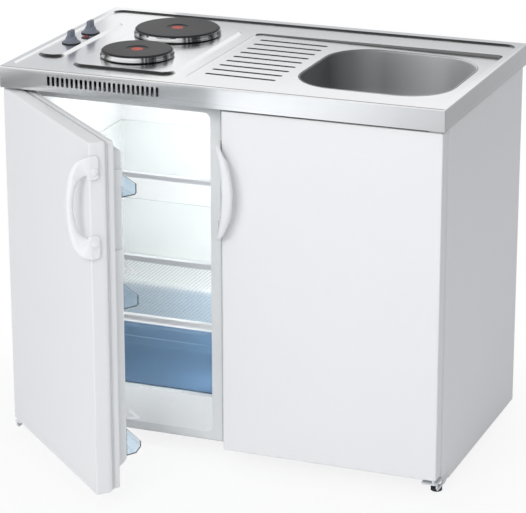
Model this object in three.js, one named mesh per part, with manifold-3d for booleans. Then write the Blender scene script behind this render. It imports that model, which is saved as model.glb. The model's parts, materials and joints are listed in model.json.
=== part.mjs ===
// Kitchenette unit: a pressed steel worktop with hob, drainer and sink over a built-in
// refrigerator (left, door standing open) and a sink cupboard (right). Millimetres, +Z up.
// X runs along the front, from left to right. -Y is the front, where the user stands.

import * as THREE from 'three';
import { mergeVertices } from 'three/addons/utils/BufferGeometryUtils.js';
import Module from 'manifold-3d';

const wasm = await Module();
wasm.setup();

// ---- driving dimensions -------------------------------------------------------------------

const gap = 0.3; // clearance between pieces that meet

// whole unit
const width = 1000;
const depth = 600;
const height = 850; // floor to the worktop's rim
const apron = 47; // height of the worktop's skirt
const sideReveal = 5; // from the worktop's end in to the carcass
const doorReveal = 5; // from the worktop's front back to the door faces
const backReveal = 15; // from the worktop's back in to the carcass

const left = -width / 2;
const right = width / 2;
const front = -depth / 2;
const back = depth / 2;
const caseLeft = left + sideReveal;
const caseRight = right - sideReveal;
const caseBack = back - backReveal;
const hobInset = 246; // of the larger hotplate's middle, from the worktop's left end
const hobMiddle = left + hobInset;
const panelFront = front + 49; // the side panel's front edge, behind the worktop's
const bodyFront = panelFront + 14; // plane that the door seal meets

// worktop pressing
const sheet = 1.5;
const cornerRadius = 3;
const rimWidth = 18;
const rimRise = 3.5;
const backRimWidth = 28;
const fieldRadius = 24;
const pressSlope = 3; // run of a pressed step
const embossRise = 5; // hob and control fields stand up this far
const embossSlope = 7;
const hobCentreY = (front + back) / 2 - 23; // the hob keeps its length when the depth changes
const hobField = {
  x0: hobMiddle - 112, x1: hobMiddle + 128, y0: hobCentreY - 213, y1: hobCentreY + 213, r: 30,
};
const controlField = { x0: left + 26, x1: left + 89, y0: front + 118, y1: back - 135, r: 27 };
const drainField = {
  x0: hobField.x1 + 29, x1: right - 22, y0: front + 70, y1: back - 114, r: 14,
};
const drainDepthLeft = 2.5; // the drainer falls towards the bowl
const drainDepthRight = 6.5;
const grooves = 9;
const grooveX0 = drainField.x0 + 25;
const grooveFrontY = drainField.y0 + 51;
const grooveBackY = drainField.y1 - 47;
const groovePitch = (grooveBackY - grooveFrontY) / (grooves - 1);
const grooveWidth = 7;
const grooveDepth = 3;
const vents = 24;
const ventX0 = left + 117;
const ventPitch = 10.96;
const ventWidth = 4.6;
const ventLength = 21;
const ventTop = 13; // below the rim

// sink
const bowlLength = 344;
const bowlX1 = right - 43;
const bowlX0 = bowlX1 - bowlLength;
const grooveX1 = bowlX0 - 25;
const bowlY0 = drainField.y0 + 33;
const bowlY1 = drainField.y1 - 29;
const bowlRadius = 105;
const bowlDepth = 150;
const bowlDraft = 16;
const bowlFillet = 30;
const bowlSteps = 8; // straight pieces in each round corner
const wasteRadius = 30;
const wasteFlange = 40;
const wasteLength = 34;
const strainerHoles = 8;
const strainerHoleRadius = 3;
const trapRadius = 32;
const trapHeight = 90;
const pipeRadius = 16;

// hob
const rearPlate = { x: hobMiddle, y: hobField.y1 - 93, r: 93.5 };
const frontPlate = { x: hobMiddle - 3, y: hobField.y0 + 118, r: 76.5 };
const plateTop = 18; // above the rim
const plateEdge = 5.5; // thickness of the iron at its edge
const plateBoss = 17; // iron below the edge
const plateStep = 12; // how far the boss is set in
const dimpleRadius = 25;
const dimpleDepth = 1.6;
const ringOverhang = 4.5;
const cupDepth = 26;
const cupWall = 1.5;
const plateSides = 36;

// controls
const knobX = left + 60;
const lampY = (controlField.y0 + controlField.y1) / 2 - 1.5;
const rearKnobY = lampY + 44;
const frontKnobY = lampY - 56;
const knobRadius = 21;
const knobSkirt = 2.5;
const knobConeHeight = 11;
const knobNeck = 10.5;
const knobHeight = 29;
const barWidth = 10;
const barLength = 24;
const spindleRadius = 3;
const spindleReach = 20; // of the spindle, up inside the knob
const switchSize = 38;
const switchHeight = 36;
const lampX = knobX + 8;
const lampRadius = 9;
const lampRise = 4;
const lampStem = 5;

// refrigerator body
const fridgeRight = -13;
const bodyBottom = 30;
const bodyTop = height - apron - 4; // the worktop's skirt stands clear of the doors
const caseWall = 1.5;
const linerWall = 3;
const cavityX0 = caseLeft + 35;
const cavityX1 = fridgeRight - 25;
const cavityTop = bodyTop - 25;
const cavityLip = 49;
const cavityFloor = 105;
const cavityBack = caseBack - 45;
const rampBack = bodyFront + 59; // where the sloping sill meets the drawer's floor
const humpFront = cavityBack - 162; // the compressor's housing inside the cabinet
const humpTop = 258;
const humpWall = 20;
const cavityRadius = 14;
const bumpX = [cavityX0 + 160, cavityX1 - 92];
const bumpSize = 9;
const bumpRise = 2.5;

// shelves
const shelfFront = bodyFront + 65;
const shelfBack = cavityBack - 14;
const shelfSide = 4; // play to each side wall
const glass = 4;
const shelfTops = { upper: cavityTop - 173.5, lower: 410 };
const trimHeights = { upper: 10, lower: 12 };
const trimDepth = 14;
const trimLip = 2.5;
const ledgeWidth = 9;
const ledgeHeight = 6;

// crisper
const crisperTop = 271;
const crisperTrim = 16;
const drawerFront = shelfFront + 2;
const drawerBack = humpFront - 12;
const drawerWall = 2.5;
const drawerLean = 2; // of the front, back from its top to its foot
const drawerRadius = 10;
const drawerTop = 253;
const drawerLip = 221;
const drawerLipSize = 4;
const runner = { high: 3, wide: 8, inset: 6, short: 12 }; // the drawer's feet, clear of the bumps

// thermostat
const housingY0 = shelfFront + 52;
const housingY1 = housingY0 + 130;
const housingZ1 = cavityTop - 29;
const housingZ0 = housingZ1 - 45;
const housingDepth = 34;
const dialRadius = 18;
const dialDepth = 10;
const dialY = housingY0 + 30;

// cooling
const compressorRadius = 76;
const compressorHeight = 160;
const compressorBase = 25; // from its plate to the can's full width
const compressorShoulder = 60; // from there to the top
const compressorPlate = { x: 200, y: 100 };
const compressorY = caseBack - 99;
const footingHeight = 5;
const tubeRadius = 2.5;
const condenserRuns = 12;
const condenserX0 = cavityX0;
const condenserX1 = fridgeRight - 47;
const condenserZ0 = 300;
const condenserZ1 = bodyTop - 59;

// doors
const doorWidth = width / 2 - sideReveal - 10; // half of the space between the doors is 10
const doorThickness = 40;
const doorFlat = 28; // flat part of the door's edge, before its rear rounding
const doorBottom = 36;
const doorTop = bodyTop;
const doorRadius = 5;
const doorRearInset = 6;
const doorWall = 1.5;
const hingeInset = 8; // of the pivot, from the door's side and from its face
const openAngle = 42.7; // the refrigerator's door as it stands
const pinRadius = 3.5;
const pinReach = 14;
const hingePlate = 3;
const hingePlateX = 34;
const hingePlateY = 87;

// inside of the refrigerator's door
const panelInset = 8;
const panelWall = 3;
const sealFront = 43.3;
const sealRear = 57.7;
const sealOuterX = 8;
const sealInnerX = 28;
const sealOuterZ = 3;
const sealTopWidth = 18;
const sealBottomWidth = 9.5;
const dikeX0 = 40;
const dikeX1 = doorWidth - 34;
const dikeTop = doorTop - 32;
const dikeBottom = 91;
const dikeDepth = 84;
const dikeWidth = 30;
const dikeDraft = 4;
const binDepth = 120.5;
const binEnd = 2;
const binTaper = 7;
const binWall = 2;
const bins = {
  upper: { back: dikeTop - 52, front: dikeTop - 79.5, bottom: dikeTop - 103, chamfer: 4 },
  middle: { back: 477.5, front: 447.5, bottom: 423.5, chamfer: 4 },
  lower: { back: 158.5, front: 121.5, bottom: 97, chamfer: 12 },
};
const guards = {
  middle: { tip: 493, top: 527, foot: 500 },
  lower: { tip: 172, top: 206, foot: 179 },
};
const guardThickness = 3;
const guardBar = 4;
const guardStrip = 4; // width of an arm's three strips

// handles
const handleTop = doorTop - 27;
const handleBottom = handleTop - 217;
const padHeight = 50;
const padThickness = 5.7;
const padDepth = 20;
const gripReach = 34.5; // of the grip's centre, in front of the door
const gripLean = 28; // of the grip's centre, in from the door's edge
const gripWidth = 24;
const gripThickness = 14;
const capRadius = 8.2;
const capDepth = 10; // of the screw caps, behind the door's face
const capRise = 2;
const capOffset = 33; // below the handle's top and above its bottom
const capSides = 16;
const cupboardHandleDrop = 39.5; // the cupboard's handle sits this much lower

// sink cupboard
const panel = 14; // thickness of the side panel
const divider = 16;
const panelBottom = 11;
const panelRadius = 7;
const floorBoard = 16;
const backBoard = 5;
const backBoardY = caseBack - 17;
const plugInset = 24; // the door's inner panel, in from its edges
const plugDepth = 57.7;

// feet
const footRadius = 12.5;
const footHeight = 9;
const footStem = 5;
const bracketFoot = { x: caseRight - 12, y: panelFront };
const fridgeFootX = caseLeft + 33;
const fridgeFootY = bodyFront + 47;
const rearFootX = caseRight - 45;
const rearFootY = caseBack - 40;
const bracketSide = 3;
const bracketDrop = 20;
const bracketSlope = 22; // run of the bracket's slanting rear edge
const bracketSlot = { from: 18, to: 52, high: 8 }; // along its side, behind the door's face

// ---- derived places -----------------------------------------------------------------------

const doorFace = front + doorReveal;
const apronBottom = height - apron;
const fieldTop = height - rimRise;
const embossTop = fieldTop + embossRise;
const underside = fieldTop - sheet;
const pivotY = doorFace + hingeInset;
const dividerLeft = fridgeRight + gap;
const dividerRight = dividerLeft + divider;
const panelLeft = caseRight - panel;
const cupboardDoorX = caseRight - doorWidth;

const drainFloor = (x) => {
  const share = (x - drainField.x0) / (drainField.x1 - drainField.x0);
  return fieldTop - drainDepthLeft - share * (drainDepthRight - drainDepthLeft);
};

// ---- solids -------------------------------------------------------------------------------

// A closed mesh, with its faces pointing out, as a solid that can be joined and cut.
function solid(geometry) {
  const plain = geometry.clone();
  plain.deleteAttribute('normal');
  plain.deleteAttribute('uv');
  const merged = mergeVertices(plain, 1e-4);
  const index = merged.index.array;
  const triangles = [];
  for (let i = 0; i < index.length; i += 3) {
    const [a, b, c] = [index[i], index[i + 1], index[i + 2]];
    if (a !== b && b !== c && c !== a) triangles.push(a, b, c);
  }
  return new wasm.Manifold(new wasm.Mesh({
    numProp: 3,
    vertProperties: new Float32Array(merged.attributes.position.array),
    triVerts: new Uint32Array(triangles),
  }));
}

const join = (first, ...others) => others.reduce((sum, piece) => sum.add(piece), first);
const cut = (first, ...others) => others.reduce((rest, piece) => rest.subtract(piece), first);

function box(x0, x1, y0, y1, z0, z1) {
  const geometry = new THREE.BoxGeometry(x1 - x0, y1 - y0, z1 - z0);
  return solid(geometry.translate((x0 + x1) / 2, (y0 + y1) / 2, (z0 + z1) / 2));
}

// A body through rings that all have the same number of points, closed by fans at its ends.
function loft(rings) {
  const count = rings[0].length;
  const points = rings.flat();
  const faces = [];
  for (let i = 0; i + 1 < rings.length; i += 1) {
    for (let j = 0; j < count; j += 1) {
      const a = i * count + j;
      const b = i * count + ((j + 1) % count);
      faces.push(a, b, b + count, a, b + count, a + count);
    }
  }
  const ends = [rings[0], rings[rings.length - 1]];
  ends.forEach((ring, end) => {
    const centre = ring.reduce((sum, p) => sum.map((v, k) => v + p[k] / count), [0, 0, 0]);
    const hub = points.push(centre) - 1;
    const base = end * (rings.length - 1) * count;
    for (let j = 0; j < count; j += 1) {
      const pair = [base + j, base + ((j + 1) % count)];
      faces.push(hub, ...(end ? pair : pair.reverse()));
    }
  });
  const geometry = new THREE.BufferGeometry();
  geometry.setAttribute('position', new THREE.Float32BufferAttribute(points.flat(), 3));
  geometry.setIndex(volume(points, faces) < 0 ? faces.reverse() : faces);
  return solid(geometry);
}

function volume(points, faces) {
  const [a, b, c] = [new THREE.Vector3(), new THREE.Vector3(), new THREE.Vector3()];
  let sum = 0;
  for (let i = 0; i < faces.length; i += 3) {
    a.fromArray(points[faces[i]]);
    b.fromArray(points[faces[i + 1]]);
    c.fromArray(points[faces[i + 2]]);
    sum += a.dot(b.cross(c));
  }
  return sum;
}

// Points of a rectangle with rounded corners, anticlockwise.
function roundedRectangle(u0, u1, v0, v1, radius, steps = 4) {
  const r = Math.min(radius, (u1 - u0) / 2 - 0.01, (v1 - v0) / 2 - 0.01);
  const corners = [[u1 - r, v1 - r], [u0 + r, v1 - r], [u0 + r, v0 + r], [u1 - r, v0 + r]];
  return corners.flatMap(([u, v], quarter) => Array.from({ length: steps + 1 }, (_, i) => {
    const angle = (quarter + i / steps) * Math.PI / 2;
    return [u + r * Math.cos(angle), v + r * Math.sin(angle)];
  }));
}

// A body whose level sections are rounded rectangles: levels hold [z, how far in it is drawn].
function pillar({ x0, x1, y0, y1, r }, levels, steps) {
  return loft(levels.map(([z, inset]) => roundedRectangle(
    x0 + inset, x1 - inset, y0 + inset, y1 - inset, Math.max(r - inset, 0.5), steps,
  ).map(([x, y]) => [x, y, typeof z === 'function' ? z(x) : z])));
}

// The same, stacked along Y, with the rounded rectangle standing in the X-Z plane.
function slab({ x0, x1, z0, z1, r }, levels, steps) {
  return loft(levels.map(([y, inset]) => roundedRectangle(
    x0 + inset, x1 - inset, z0 + inset, z1 - inset, Math.max(r - inset, 0.5), steps,
  ).map(([x, z]) => [x, y, z])));
}

// A turned body about the vertical through (x, y), from a profile of [radius, z].
function turned(profile, x, y, sides = plateSides) {
  const points = profile.map(([r, z]) => new THREE.Vector2(r, z));
  const geometry = new THREE.LatheGeometry(points, sides).rotateX(Math.PI / 2);
  const body = solid(geometry.translate(x, y, 0));
  if (body.volume() > 0) return body;
  const index = geometry.index.array;
  return solid(geometry.setIndex(Array.from(index).reverse()));
}

const rod = (r, z0, z1, x, y, sides = 24) => turned(
  [[0, z0], [r, z0], [r, z1], [0, z1]], x, y, sides,
);

// An outline of [y, z] points extruded along X.
function prismX(outline, x0, x1) {
  const shape = new THREE.Shape(outline.map(([y, z]) => new THREE.Vector2(y, z)));
  const geometry = new THREE.ExtrudeGeometry(shape, { depth: x1 - x0, bevelEnabled: false });
  const turn = new THREE.Matrix4().makeBasis(
    new THREE.Vector3(0, 1, 0), new THREE.Vector3(0, 0, 1), new THREE.Vector3(1, 0, 0),
  );
  return solid(geometry.applyMatrix4(turn).translate(x0, 0, 0));
}

// An outline of [x, y] points extruded upwards.
function prismZ(outline, z0, z1) {
  const shape = new THREE.Shape(outline.map(([x, y]) => new THREE.Vector2(x, y)));
  const geometry = new THREE.ExtrudeGeometry(shape, { depth: z1 - z0, bevelEnabled: false });
  return solid(geometry.translate(0, 0, z0));
}

// A rod lying along X.
function rodX(r, x0, x1, y, z, sides = 24) {
  const geometry = new THREE.CylinderGeometry(r, r, x1 - x0, sides).rotateZ(Math.PI / 2);
  return solid(geometry.translate((x0 + x1) / 2, y, z));
}

// A rod lying along Y.
function rodY(r, y0, y1, x, z, sides = 24) {
  const geometry = new THREE.CylinderGeometry(r, r, y1 - y0, sides);
  return solid(geometry.translate(x, (y0 + y1) / 2, z));
}

// ---- the scene graph ----------------------------------------------------------------------

const unit = new THREE.Group();

// The refrigerator's door turns as one about its pivot, which this group stands on.
const openDoor = new THREE.Group();
const pivotX = caseLeft + hingeInset;
openDoor.position.set(pivotX, pivotY, 0);
openDoor.rotation.z = THREE.MathUtils.degToRad(-openAngle);
unit.add(openDoor);

const paints = {
  steel: { color: 0xc9cbcd, roughness: 0.3, metalness: 1 },
  satin: { color: 0x9a9da0, roughness: 0.45, metalness: 1 },
  chrome: { color: 0xd8dadd, roughness: 0.08, metalness: 1 },
  iron: { color: 0x4c4d4f, roughness: 0.75, metalness: 0.2 },
  slate: { color: 0x565b66, roughness: 0.5, metalness: 0 },
  lamp: { color: 0x8a1c12, roughness: 0.2, metalness: 0 },
  zinc: { color: 0xa7abae, roughness: 0.5, metalness: 0.8 },
  enamel: { color: 0xf2f3f4, roughness: 0.35, metalness: 0 },
  grey: { color: 0xccd0d3, roughness: 0.45, metalness: 0 },
  liner: { color: 0xf3f6f6, roughness: 0.35, metalness: 0 },
  foam: { color: 0xd9c56a, roughness: 0.9, metalness: 0 },
  glass: { color: 0xc9ded9, roughness: 0.05, metalness: 0 },
  crisper: { color: 0x2f5f96, roughness: 0.15, metalness: 0 },
  bin: { color: 0xb7d3e6, roughness: 0.15, metalness: 0 },
  seal: { color: 0xdfe1e3, roughness: 0.7, metalness: 0 },
  white: { color: 0xf5f6f7, roughness: 0.3, metalness: 0 },
  black: { color: 0x17181a, roughness: 0.6, metalness: 0 },
  board: { color: 0xdddfe1, roughness: 0.5, metalness: 0 },
};

function put(name, paint, body, parent = unit) {
  const { vertProperties, triVerts } = body.getMesh();
  const geometry = new THREE.BufferGeometry();
  geometry.setAttribute('position', new THREE.BufferAttribute(vertProperties, 3));
  geometry.setIndex(new THREE.BufferAttribute(triVerts, 1));
  const mesh = new THREE.Mesh(geometry, new THREE.MeshStandardMaterial(paints[paint]));
  mesh.name = name;
  parent.add(mesh);
}

// Pieces of the open door are made as on a closed one, then hung on its group.
function putOnDoor(name, paint, body) {
  put(name, paint, body.translate([-pivotX, -pivotY, 0]), openDoor);
}

// ---- worktop ------------------------------------------------------------------------------

const ledge = 8; // reach of a cutter past the face that it opens

function emboss(body, field) {
  const outside = pillar(field, [
    [underside, 0], [fieldTop, 0], [fieldTop + embossRise * 0.3, embossSlope * 0.25],
    [fieldTop + embossRise * 0.8, embossSlope * 0.65], [embossTop, embossSlope],
  ], 6);
  const inside = pillar(field, [
    [underside - ledge, sheet], [underside, sheet], [fieldTop, sheet],
    [embossTop - sheet, embossSlope + sheet],
  ], 6);
  return cut(join(body, outside), inside);
}

const grown = (field, extra) => ({
  x0: field.x0 - extra, x1: field.x1 + extra, y0: field.y0 - extra, y1: field.y1 + extra,
  r: field.r + extra,
});

function groove(i, extra, low, high) {
  const y = grooveBackY - i * groovePitch;
  const half = grooveWidth / 2 + extra;
  const field = { x0: grooveX0 - extra, x1: grooveX1 + extra, y0: y - half, y1: y + half, r: half };
  return pillar(field, [[(x) => drainFloor(x) - low, 0], [(x) => drainFloor(x) + high, 0]], 2);
}

function vent(i) {
  const x = ventX0 + i * ventPitch;
  const z1 = height - ventTop;
  const hole = { x0: x - ventWidth / 2, x1: x + ventWidth / 2, z0: z1 - ventLength, z1 };
  return slab({ ...hole, r: ventWidth / 2 }, [[front - ledge, 0], [front + ledge, 0]], 2);
}

const bowlField = (extra) => ({
  x0: bowlX0 - extra, x1: bowlX1 + extra, y0: bowlY0 - extra, y1: bowlY1 + extra,
  r: bowlRadius + extra,
});

function worktop() {
  const outline = { x0: left, x1: right, y0: front, y1: back, r: cornerRadius };
  const shell = pillar(outline, [
    [apronBottom, 0], [height - cornerRadius, 0],
    [height - cornerRadius * 0.3, cornerRadius * 0.3], [height, cornerRadius],
  ], 3);
  const inside = { ...grown(outline, -sheet), r: cornerRadius - sheet };
  const field = {
    x0: left + rimWidth, x1: right - rimWidth, y0: front + rimWidth + cornerRadius * 2,
    y1: back - backRimWidth, r: fieldRadius,
  };
  let body = cut(
    shell,
    pillar(inside, [[apronBottom - ledge, 0], [underside, 0]], 2),
    pillar(field, [
      [fieldTop, 0], [fieldTop + rimRise * 0.4, -pressSlope * 0.35],
      [height, -pressSlope], [height + ledge, -pressSlope],
    ], 6),
  );
  body = emboss(emboss(body, hobField), controlField);

  const pan = pillar(grown(drainField, sheet), [[(x) => drainFloor(x) - sheet, 0], [fieldTop, 0]], 5);
  const numbers = Array.from({ length: grooves }, (_, i) => i);
  body = join(body, pan, ...numbers.map((i) => groove(i, sheet, grooveDepth + sheet, -sheet / 2)));
  body = cut(
    body,
    pillar(drainField, [
      [drainFloor, 0], [fieldTop, -pressSlope / 2], [height + ledge, -pressSlope / 2],
    ], 5),
    ...numbers.map((i) => groove(i, 0, grooveDepth, ledge)),
    pillar(bowlField(gap), [[underside - 4 * ledge, 0], [height, 0]], bowlSteps),
    ...Array.from({ length: vents }, (_, i) => vent(i)),
  );
  for (const plate of [rearPlate, frontPlate]) {
    const hole = plate.r - plateStep + gap * 3;
    body = cut(body, rod(hole, underside - ledge, height + ledge, plate.x, plate.y, plateSides));
  }
  for (const y of [rearKnobY, frontKnobY]) {
    body = cut(body, rod(spindleRadius + 2, underside - ledge, height + ledge, knobX, y, 16));
  }
  return cut(body, rod(lampStem + gap, underside - ledge, height + ledge, lampX, lampY, 16));
}

put('worktop', 'steel', worktop());

// ---- sink ---------------------------------------------------------------------------------

const bowlBottom = drainFloor(bowlX1) - bowlDepth;
const wasteX = (bowlX0 + bowlX1) / 2;
const wasteY = (bowlY0 + bowlY1) / 2;

// The bowl's walls lean in by the draft, then turn into the bottom through a fillet.
function bowlLevels(extra) {
  const levels = [[(x) => drainFloor(x) + extra, 0]];
  const wallFoot = bowlBottom + bowlFillet;
  levels.push([wallFoot, bowlDraft - bowlFillet * 0.1]);
  for (const angle of [30, 60, 90]) {
    const turn = THREE.MathUtils.degToRad(angle);
    levels.push([
      wallFoot - bowlFillet * Math.sin(turn),
      bowlDraft - bowlFillet * 0.1 + bowlFillet * (1 - Math.cos(turn)),
    ]);
  }
  return levels;
}

function bowl() {
  const outside = pillar(bowlField(0), bowlLevels(0), bowlSteps);
  const inner = bowlLevels(ledge).map(([z, inset], i) => [i ? z + sheet : z, inset]);
  const inside = pillar(bowlField(-sheet), inner, bowlSteps);
  const hole = rod(wasteRadius + gap, bowlBottom - ledge, bowlBottom + ledge, wasteX, wasteY);
  return cut(outside, inside, hole);
}

put('sink_bowl', 'satin', bowl());

function waste() {
  const seat = bowlBottom + sheet + gap;
  const body = turned([
    [0, seat - 6], [wasteRadius - 2, seat - 6], [wasteRadius - 2, seat + 1],
    [wasteFlange - 1, seat + 2], [wasteFlange, seat], [wasteRadius, seat],
    [wasteRadius, seat - wasteLength], [wasteRadius - 2, seat - wasteLength],
    [wasteRadius - 2, seat - 8], [0, seat - 8],
  ], wasteX, wasteY, 24);
  const holes = Array.from({ length: strainerHoles }, (_, i) => {
    const angle = i * 2 * Math.PI / strainerHoles;
    const x = wasteX + wasteRadius * 0.6 * Math.cos(angle);
    const y = wasteY + wasteRadius * 0.6 * Math.sin(angle);
    return rod(strainerHoleRadius, seat - 10, seat - 4, x, y, 8);
  });
  return cut(body, ...holes);
}

put('sink_waste', 'chrome', waste());

const trapTop = bowlBottom + sheet - wasteLength;
const trapJar = trapTop - trapHeight;
const trapOutlet = trapJar - 24;

function trap() {
  const top = trapTop;
  const jar = trapJar;
  const body = turned([
    [0, jar - trapHeight], [trapRadius - 4, jar - trapHeight], [trapRadius, jar - trapHeight + 8],
    [trapRadius, jar], [pipeRadius + 4, jar + 8], [pipeRadius + 4, top - 20],
    [wasteRadius + 4, top - 16], [wasteRadius + 4, top], [pipeRadius, top],
    [pipeRadius, jar - trapHeight + 16], [0, jar - trapHeight + 16],
  ], wasteX, wasteY, 18);
  const outlet = rodY(pipeRadius, wasteY + trapRadius - 4, caseBack, wasteX, trapOutlet);
  const bore = rodY(pipeRadius - 2, wasteY, back, wasteX, trapOutlet);
  return cut(join(body, outlet), bore);
}

put('waste_trap', 'white', trap());

// ---- hob ----------------------------------------------------------------------------------

const plateTopZ = height + plateTop;
const edgeBottom = plateTopZ - plateEdge;
const bossBottom = edgeBottom - plateBoss;

function hotplate({ x, y, r }) {
  return turned([
    [0, bossBottom], [r - plateStep, bossBottom], [r - plateStep, edgeBottom], [r - 1, edgeBottom],
    [r, edgeBottom + 1], [r, plateTopZ - 2], [r - 0.7, plateTopZ - 0.6], [r - 2.5, plateTopZ],
    [dimpleRadius, plateTopZ], [dimpleRadius - 2.5, plateTopZ - dimpleDepth],
    [0, plateTopZ - dimpleDepth],
  ], x, y);
}

// The polished collar stands on the worktop and carries the iron by its edge.
function collar({ x, y, r }) {
  const foot = embossTop + gap;
  const seat = edgeBottom - gap;
  const outer = r + ringOverhang;
  const inner = r - plateStep + gap;
  return turned([
    [inner, foot], [outer - 4, foot], [outer - 1.2, foot + 1.5], [outer, foot + 4],
    [outer - 0.8, foot + 7], [r + 1.5, seat + 2.5], [r + gap, seat + 2.5], [r + gap, seat],
    [inner, seat], [inner, foot],
  ], x, y);
}

function cup({ x, y, r }) {
  const top = bossBottom - gap;
  const bottom = top - cupDepth;
  const outer = r - plateStep;
  return turned([
    [0, bottom], [outer - 8, bottom], [outer, bottom + 8], [outer, top], [outer - cupWall, top],
    [outer - cupWall, bottom + 9], [outer - 8, bottom + cupWall], [8, bottom + cupWall],
    [8, top], [0, top],
  ], x, y, 24);
}

for (const [place, plate] of Object.entries({ rear: rearPlate, front: frontPlate })) {
  put(`hotplate_${place}`, 'iron', hotplate(plate));
  put(`hotplate_ring_${place}`, 'chrome', collar(plate));
  put(`hotplate_cup_${place}`, 'zinc', cup(plate));
}

// ---- controls -----------------------------------------------------------------------------

const knobFoot = embossTop + gap;
const switchTop = embossTop - sheet - gap;

function energySwitch(y) {
  const half = switchSize / 2;
  const body = box(knobX - half, knobX + half, y - half, y + half, switchTop - switchHeight, switchTop);
  const terminals = [-12, 0, 12].map((dx) => box(
    knobX + dx - 3, knobX + dx + 3, y - 1, y + 1, switchTop - switchHeight - 6, switchTop - switchHeight,
  ));
  return join(body, ...terminals);
}

function knob(y) {
  const coneFoot = knobFoot + knobSkirt;
  const coneTop = coneFoot + knobConeHeight;
  const skirt = turned([
    [0, knobFoot], [knobRadius, knobFoot], [knobRadius, coneFoot], [knobRadius - 1, coneFoot + 1],
    [knobRadius - 5, coneFoot + 3.5], [knobNeck + 1.5, coneTop - 2], [knobNeck, coneTop + 2],
    [0, coneTop + 2],
  ], knobX, y, 24);
  const top = knobFoot + knobHeight;
  const bar = pillar({
    x0: knobX - barWidth / 2, x1: knobX + barWidth / 2, y0: y - barLength / 2, y1: y + barLength / 2,
    r: 2,
  }, [[coneFoot + 2, 0], [top - 1, 0.6], [top, 1.4]], 3);
  const bore = rod(spindleRadius + gap, knobFoot - 1, knobFoot + spindleReach, knobX, y, 16);
  return cut(join(skirt, bar), bore);
}

const spindle = (y) => rod(
  spindleRadius, switchTop + gap, knobFoot + spindleReach - gap, knobX, y, 12,
);

for (const [place, y] of Object.entries({ rear: rearKnobY, front: frontKnobY })) {
  put(`switch_${place}`, 'white', energySwitch(y));
  put(`spindle_${place}`, 'zinc', spindle(y));
  put(`knob_${place}`, 'slate', knob(y));
}

put('pilot_lamp', 'lamp', turned([
  [0, embossTop - 14], [lampStem, embossTop - 14], [lampStem, knobFoot], [lampRadius, knobFoot],
  [lampRadius, knobFoot + 1], [lampRadius * 0.8, knobFoot + lampRise * 0.75],
  [lampRadius * 0.4, knobFoot + lampRise], [0, knobFoot + lampRise],
], lampX, lampY, 20));

// A tray between hob and refrigerator: its turned-up sides carry the worktop.
const trayBottom = bodyTop + hingePlate + 2 * gap;
const trayRight = fridgeRight - 7;
const trayWall = 1;

function tray() {
  const y0 = bodyFront + 12;
  const y1 = caseBack - 10;
  const x0 = caseLeft + gap;
  const rise = drainFloor(trayRight) - grooveDepth - sheet - gap;
  return cut(
    box(x0, trayRight, y0, y1, trayBottom, underside - gap),
    box(x0 + trayWall, trayRight - trayWall, y0 - 1, y1 + 1, trayBottom + trayWall, height),
    box(trayRight - 2 * trayWall, trayRight + 1, y0 - 1, y1 + 1, rise, height),
  );
}

put('hob_tray', 'zinc', tray());

// ---- refrigerator -------------------------------------------------------------------------

// The food compartment, drawn out by extra on every side, as a profile of [y, z].
function cavity(extra) {
  const profile = [
    [bodyFront - ledge, cavityLip - extra], [bodyFront, cavityLip - extra],
    [rampBack, cavityFloor - extra], [humpFront + extra, cavityFloor - extra],
    [humpFront + extra, humpTop - extra], [cavityBack + extra, humpTop - extra],
    [cavityBack + extra, cavityTop + extra], [bodyFront - ledge, cavityTop + extra],
  ];
  const tunnel = slab({
    x0: cavityX0 - extra, x1: cavityX1 + extra, z0: cavityLip - extra, z1: cavityTop + extra,
    r: cavityRadius + extra,
  }, [[bodyFront - 2 * ledge, 0], [cavityBack + 2 * ledge, 0]], 4);
  return prismX(profile, cavityX0 - extra, cavityX1 + extra).intersect(tunnel);
}

const bayFront = humpFront + linerWall + humpWall;
const bayTop = humpTop - linerWall - humpWall;
const caseZ0 = bodyBottom;
const floorTop = caseZ0 + caseWall;

function outerCase() {
  const shell = cut(
    box(caseLeft, fridgeRight, bodyFront, caseBack, caseZ0, bodyTop),
    box(caseLeft + caseWall, fridgeRight - caseWall, bodyFront - 1, caseBack - caseWall,
      floorTop, bodyTop - caseWall),
    box(caseLeft + caseWall, fridgeRight - caseWall, bayFront, caseBack + 1, floorTop, bayTop),
  );
  const x0 = caseLeft + caseWall / 2;
  const x1 = fridgeRight - caseWall / 2;
  return join(
    shell,
    box(x0, x1, bayFront - caseWall, bayFront, caseZ0 + caseWall / 2, bayTop),
    box(x0, x1, bayFront - caseWall, caseBack - caseWall / 2, bayTop, bayTop + caseWall),
  );
}

put('fridge_case', 'grey', outerCase());

const frameBack = bodyFront + linerWall;

function insulation() {
  const inner = caseWall + gap;
  return cut(
    box(caseLeft + inner, fridgeRight - inner, frameBack + gap, caseBack - inner,
      caseZ0 + inner, bodyTop - inner),
    cavity(linerWall + gap),
    box(caseLeft, fridgeRight, bayFront - inner, back, 0, bayTop + inner),
  );
}

put('fridge_insulation', 'foam', insulation());

function ledges(top, front0, back0) {
  const z0 = top - glass - gap - ledgeHeight;
  const z1 = top - glass - gap;
  return [
    box(cavityX0 - 1, cavityX0 + ledgeWidth, front0, back0, z0, z1),
    box(cavityX1 - ledgeWidth, cavityX1 + 1, front0, back0, z0, z1),
  ];
}

const ledgeFront = shelfFront + trimDepth + 2;
const ledgeBack = cavityBack + 1;

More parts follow.
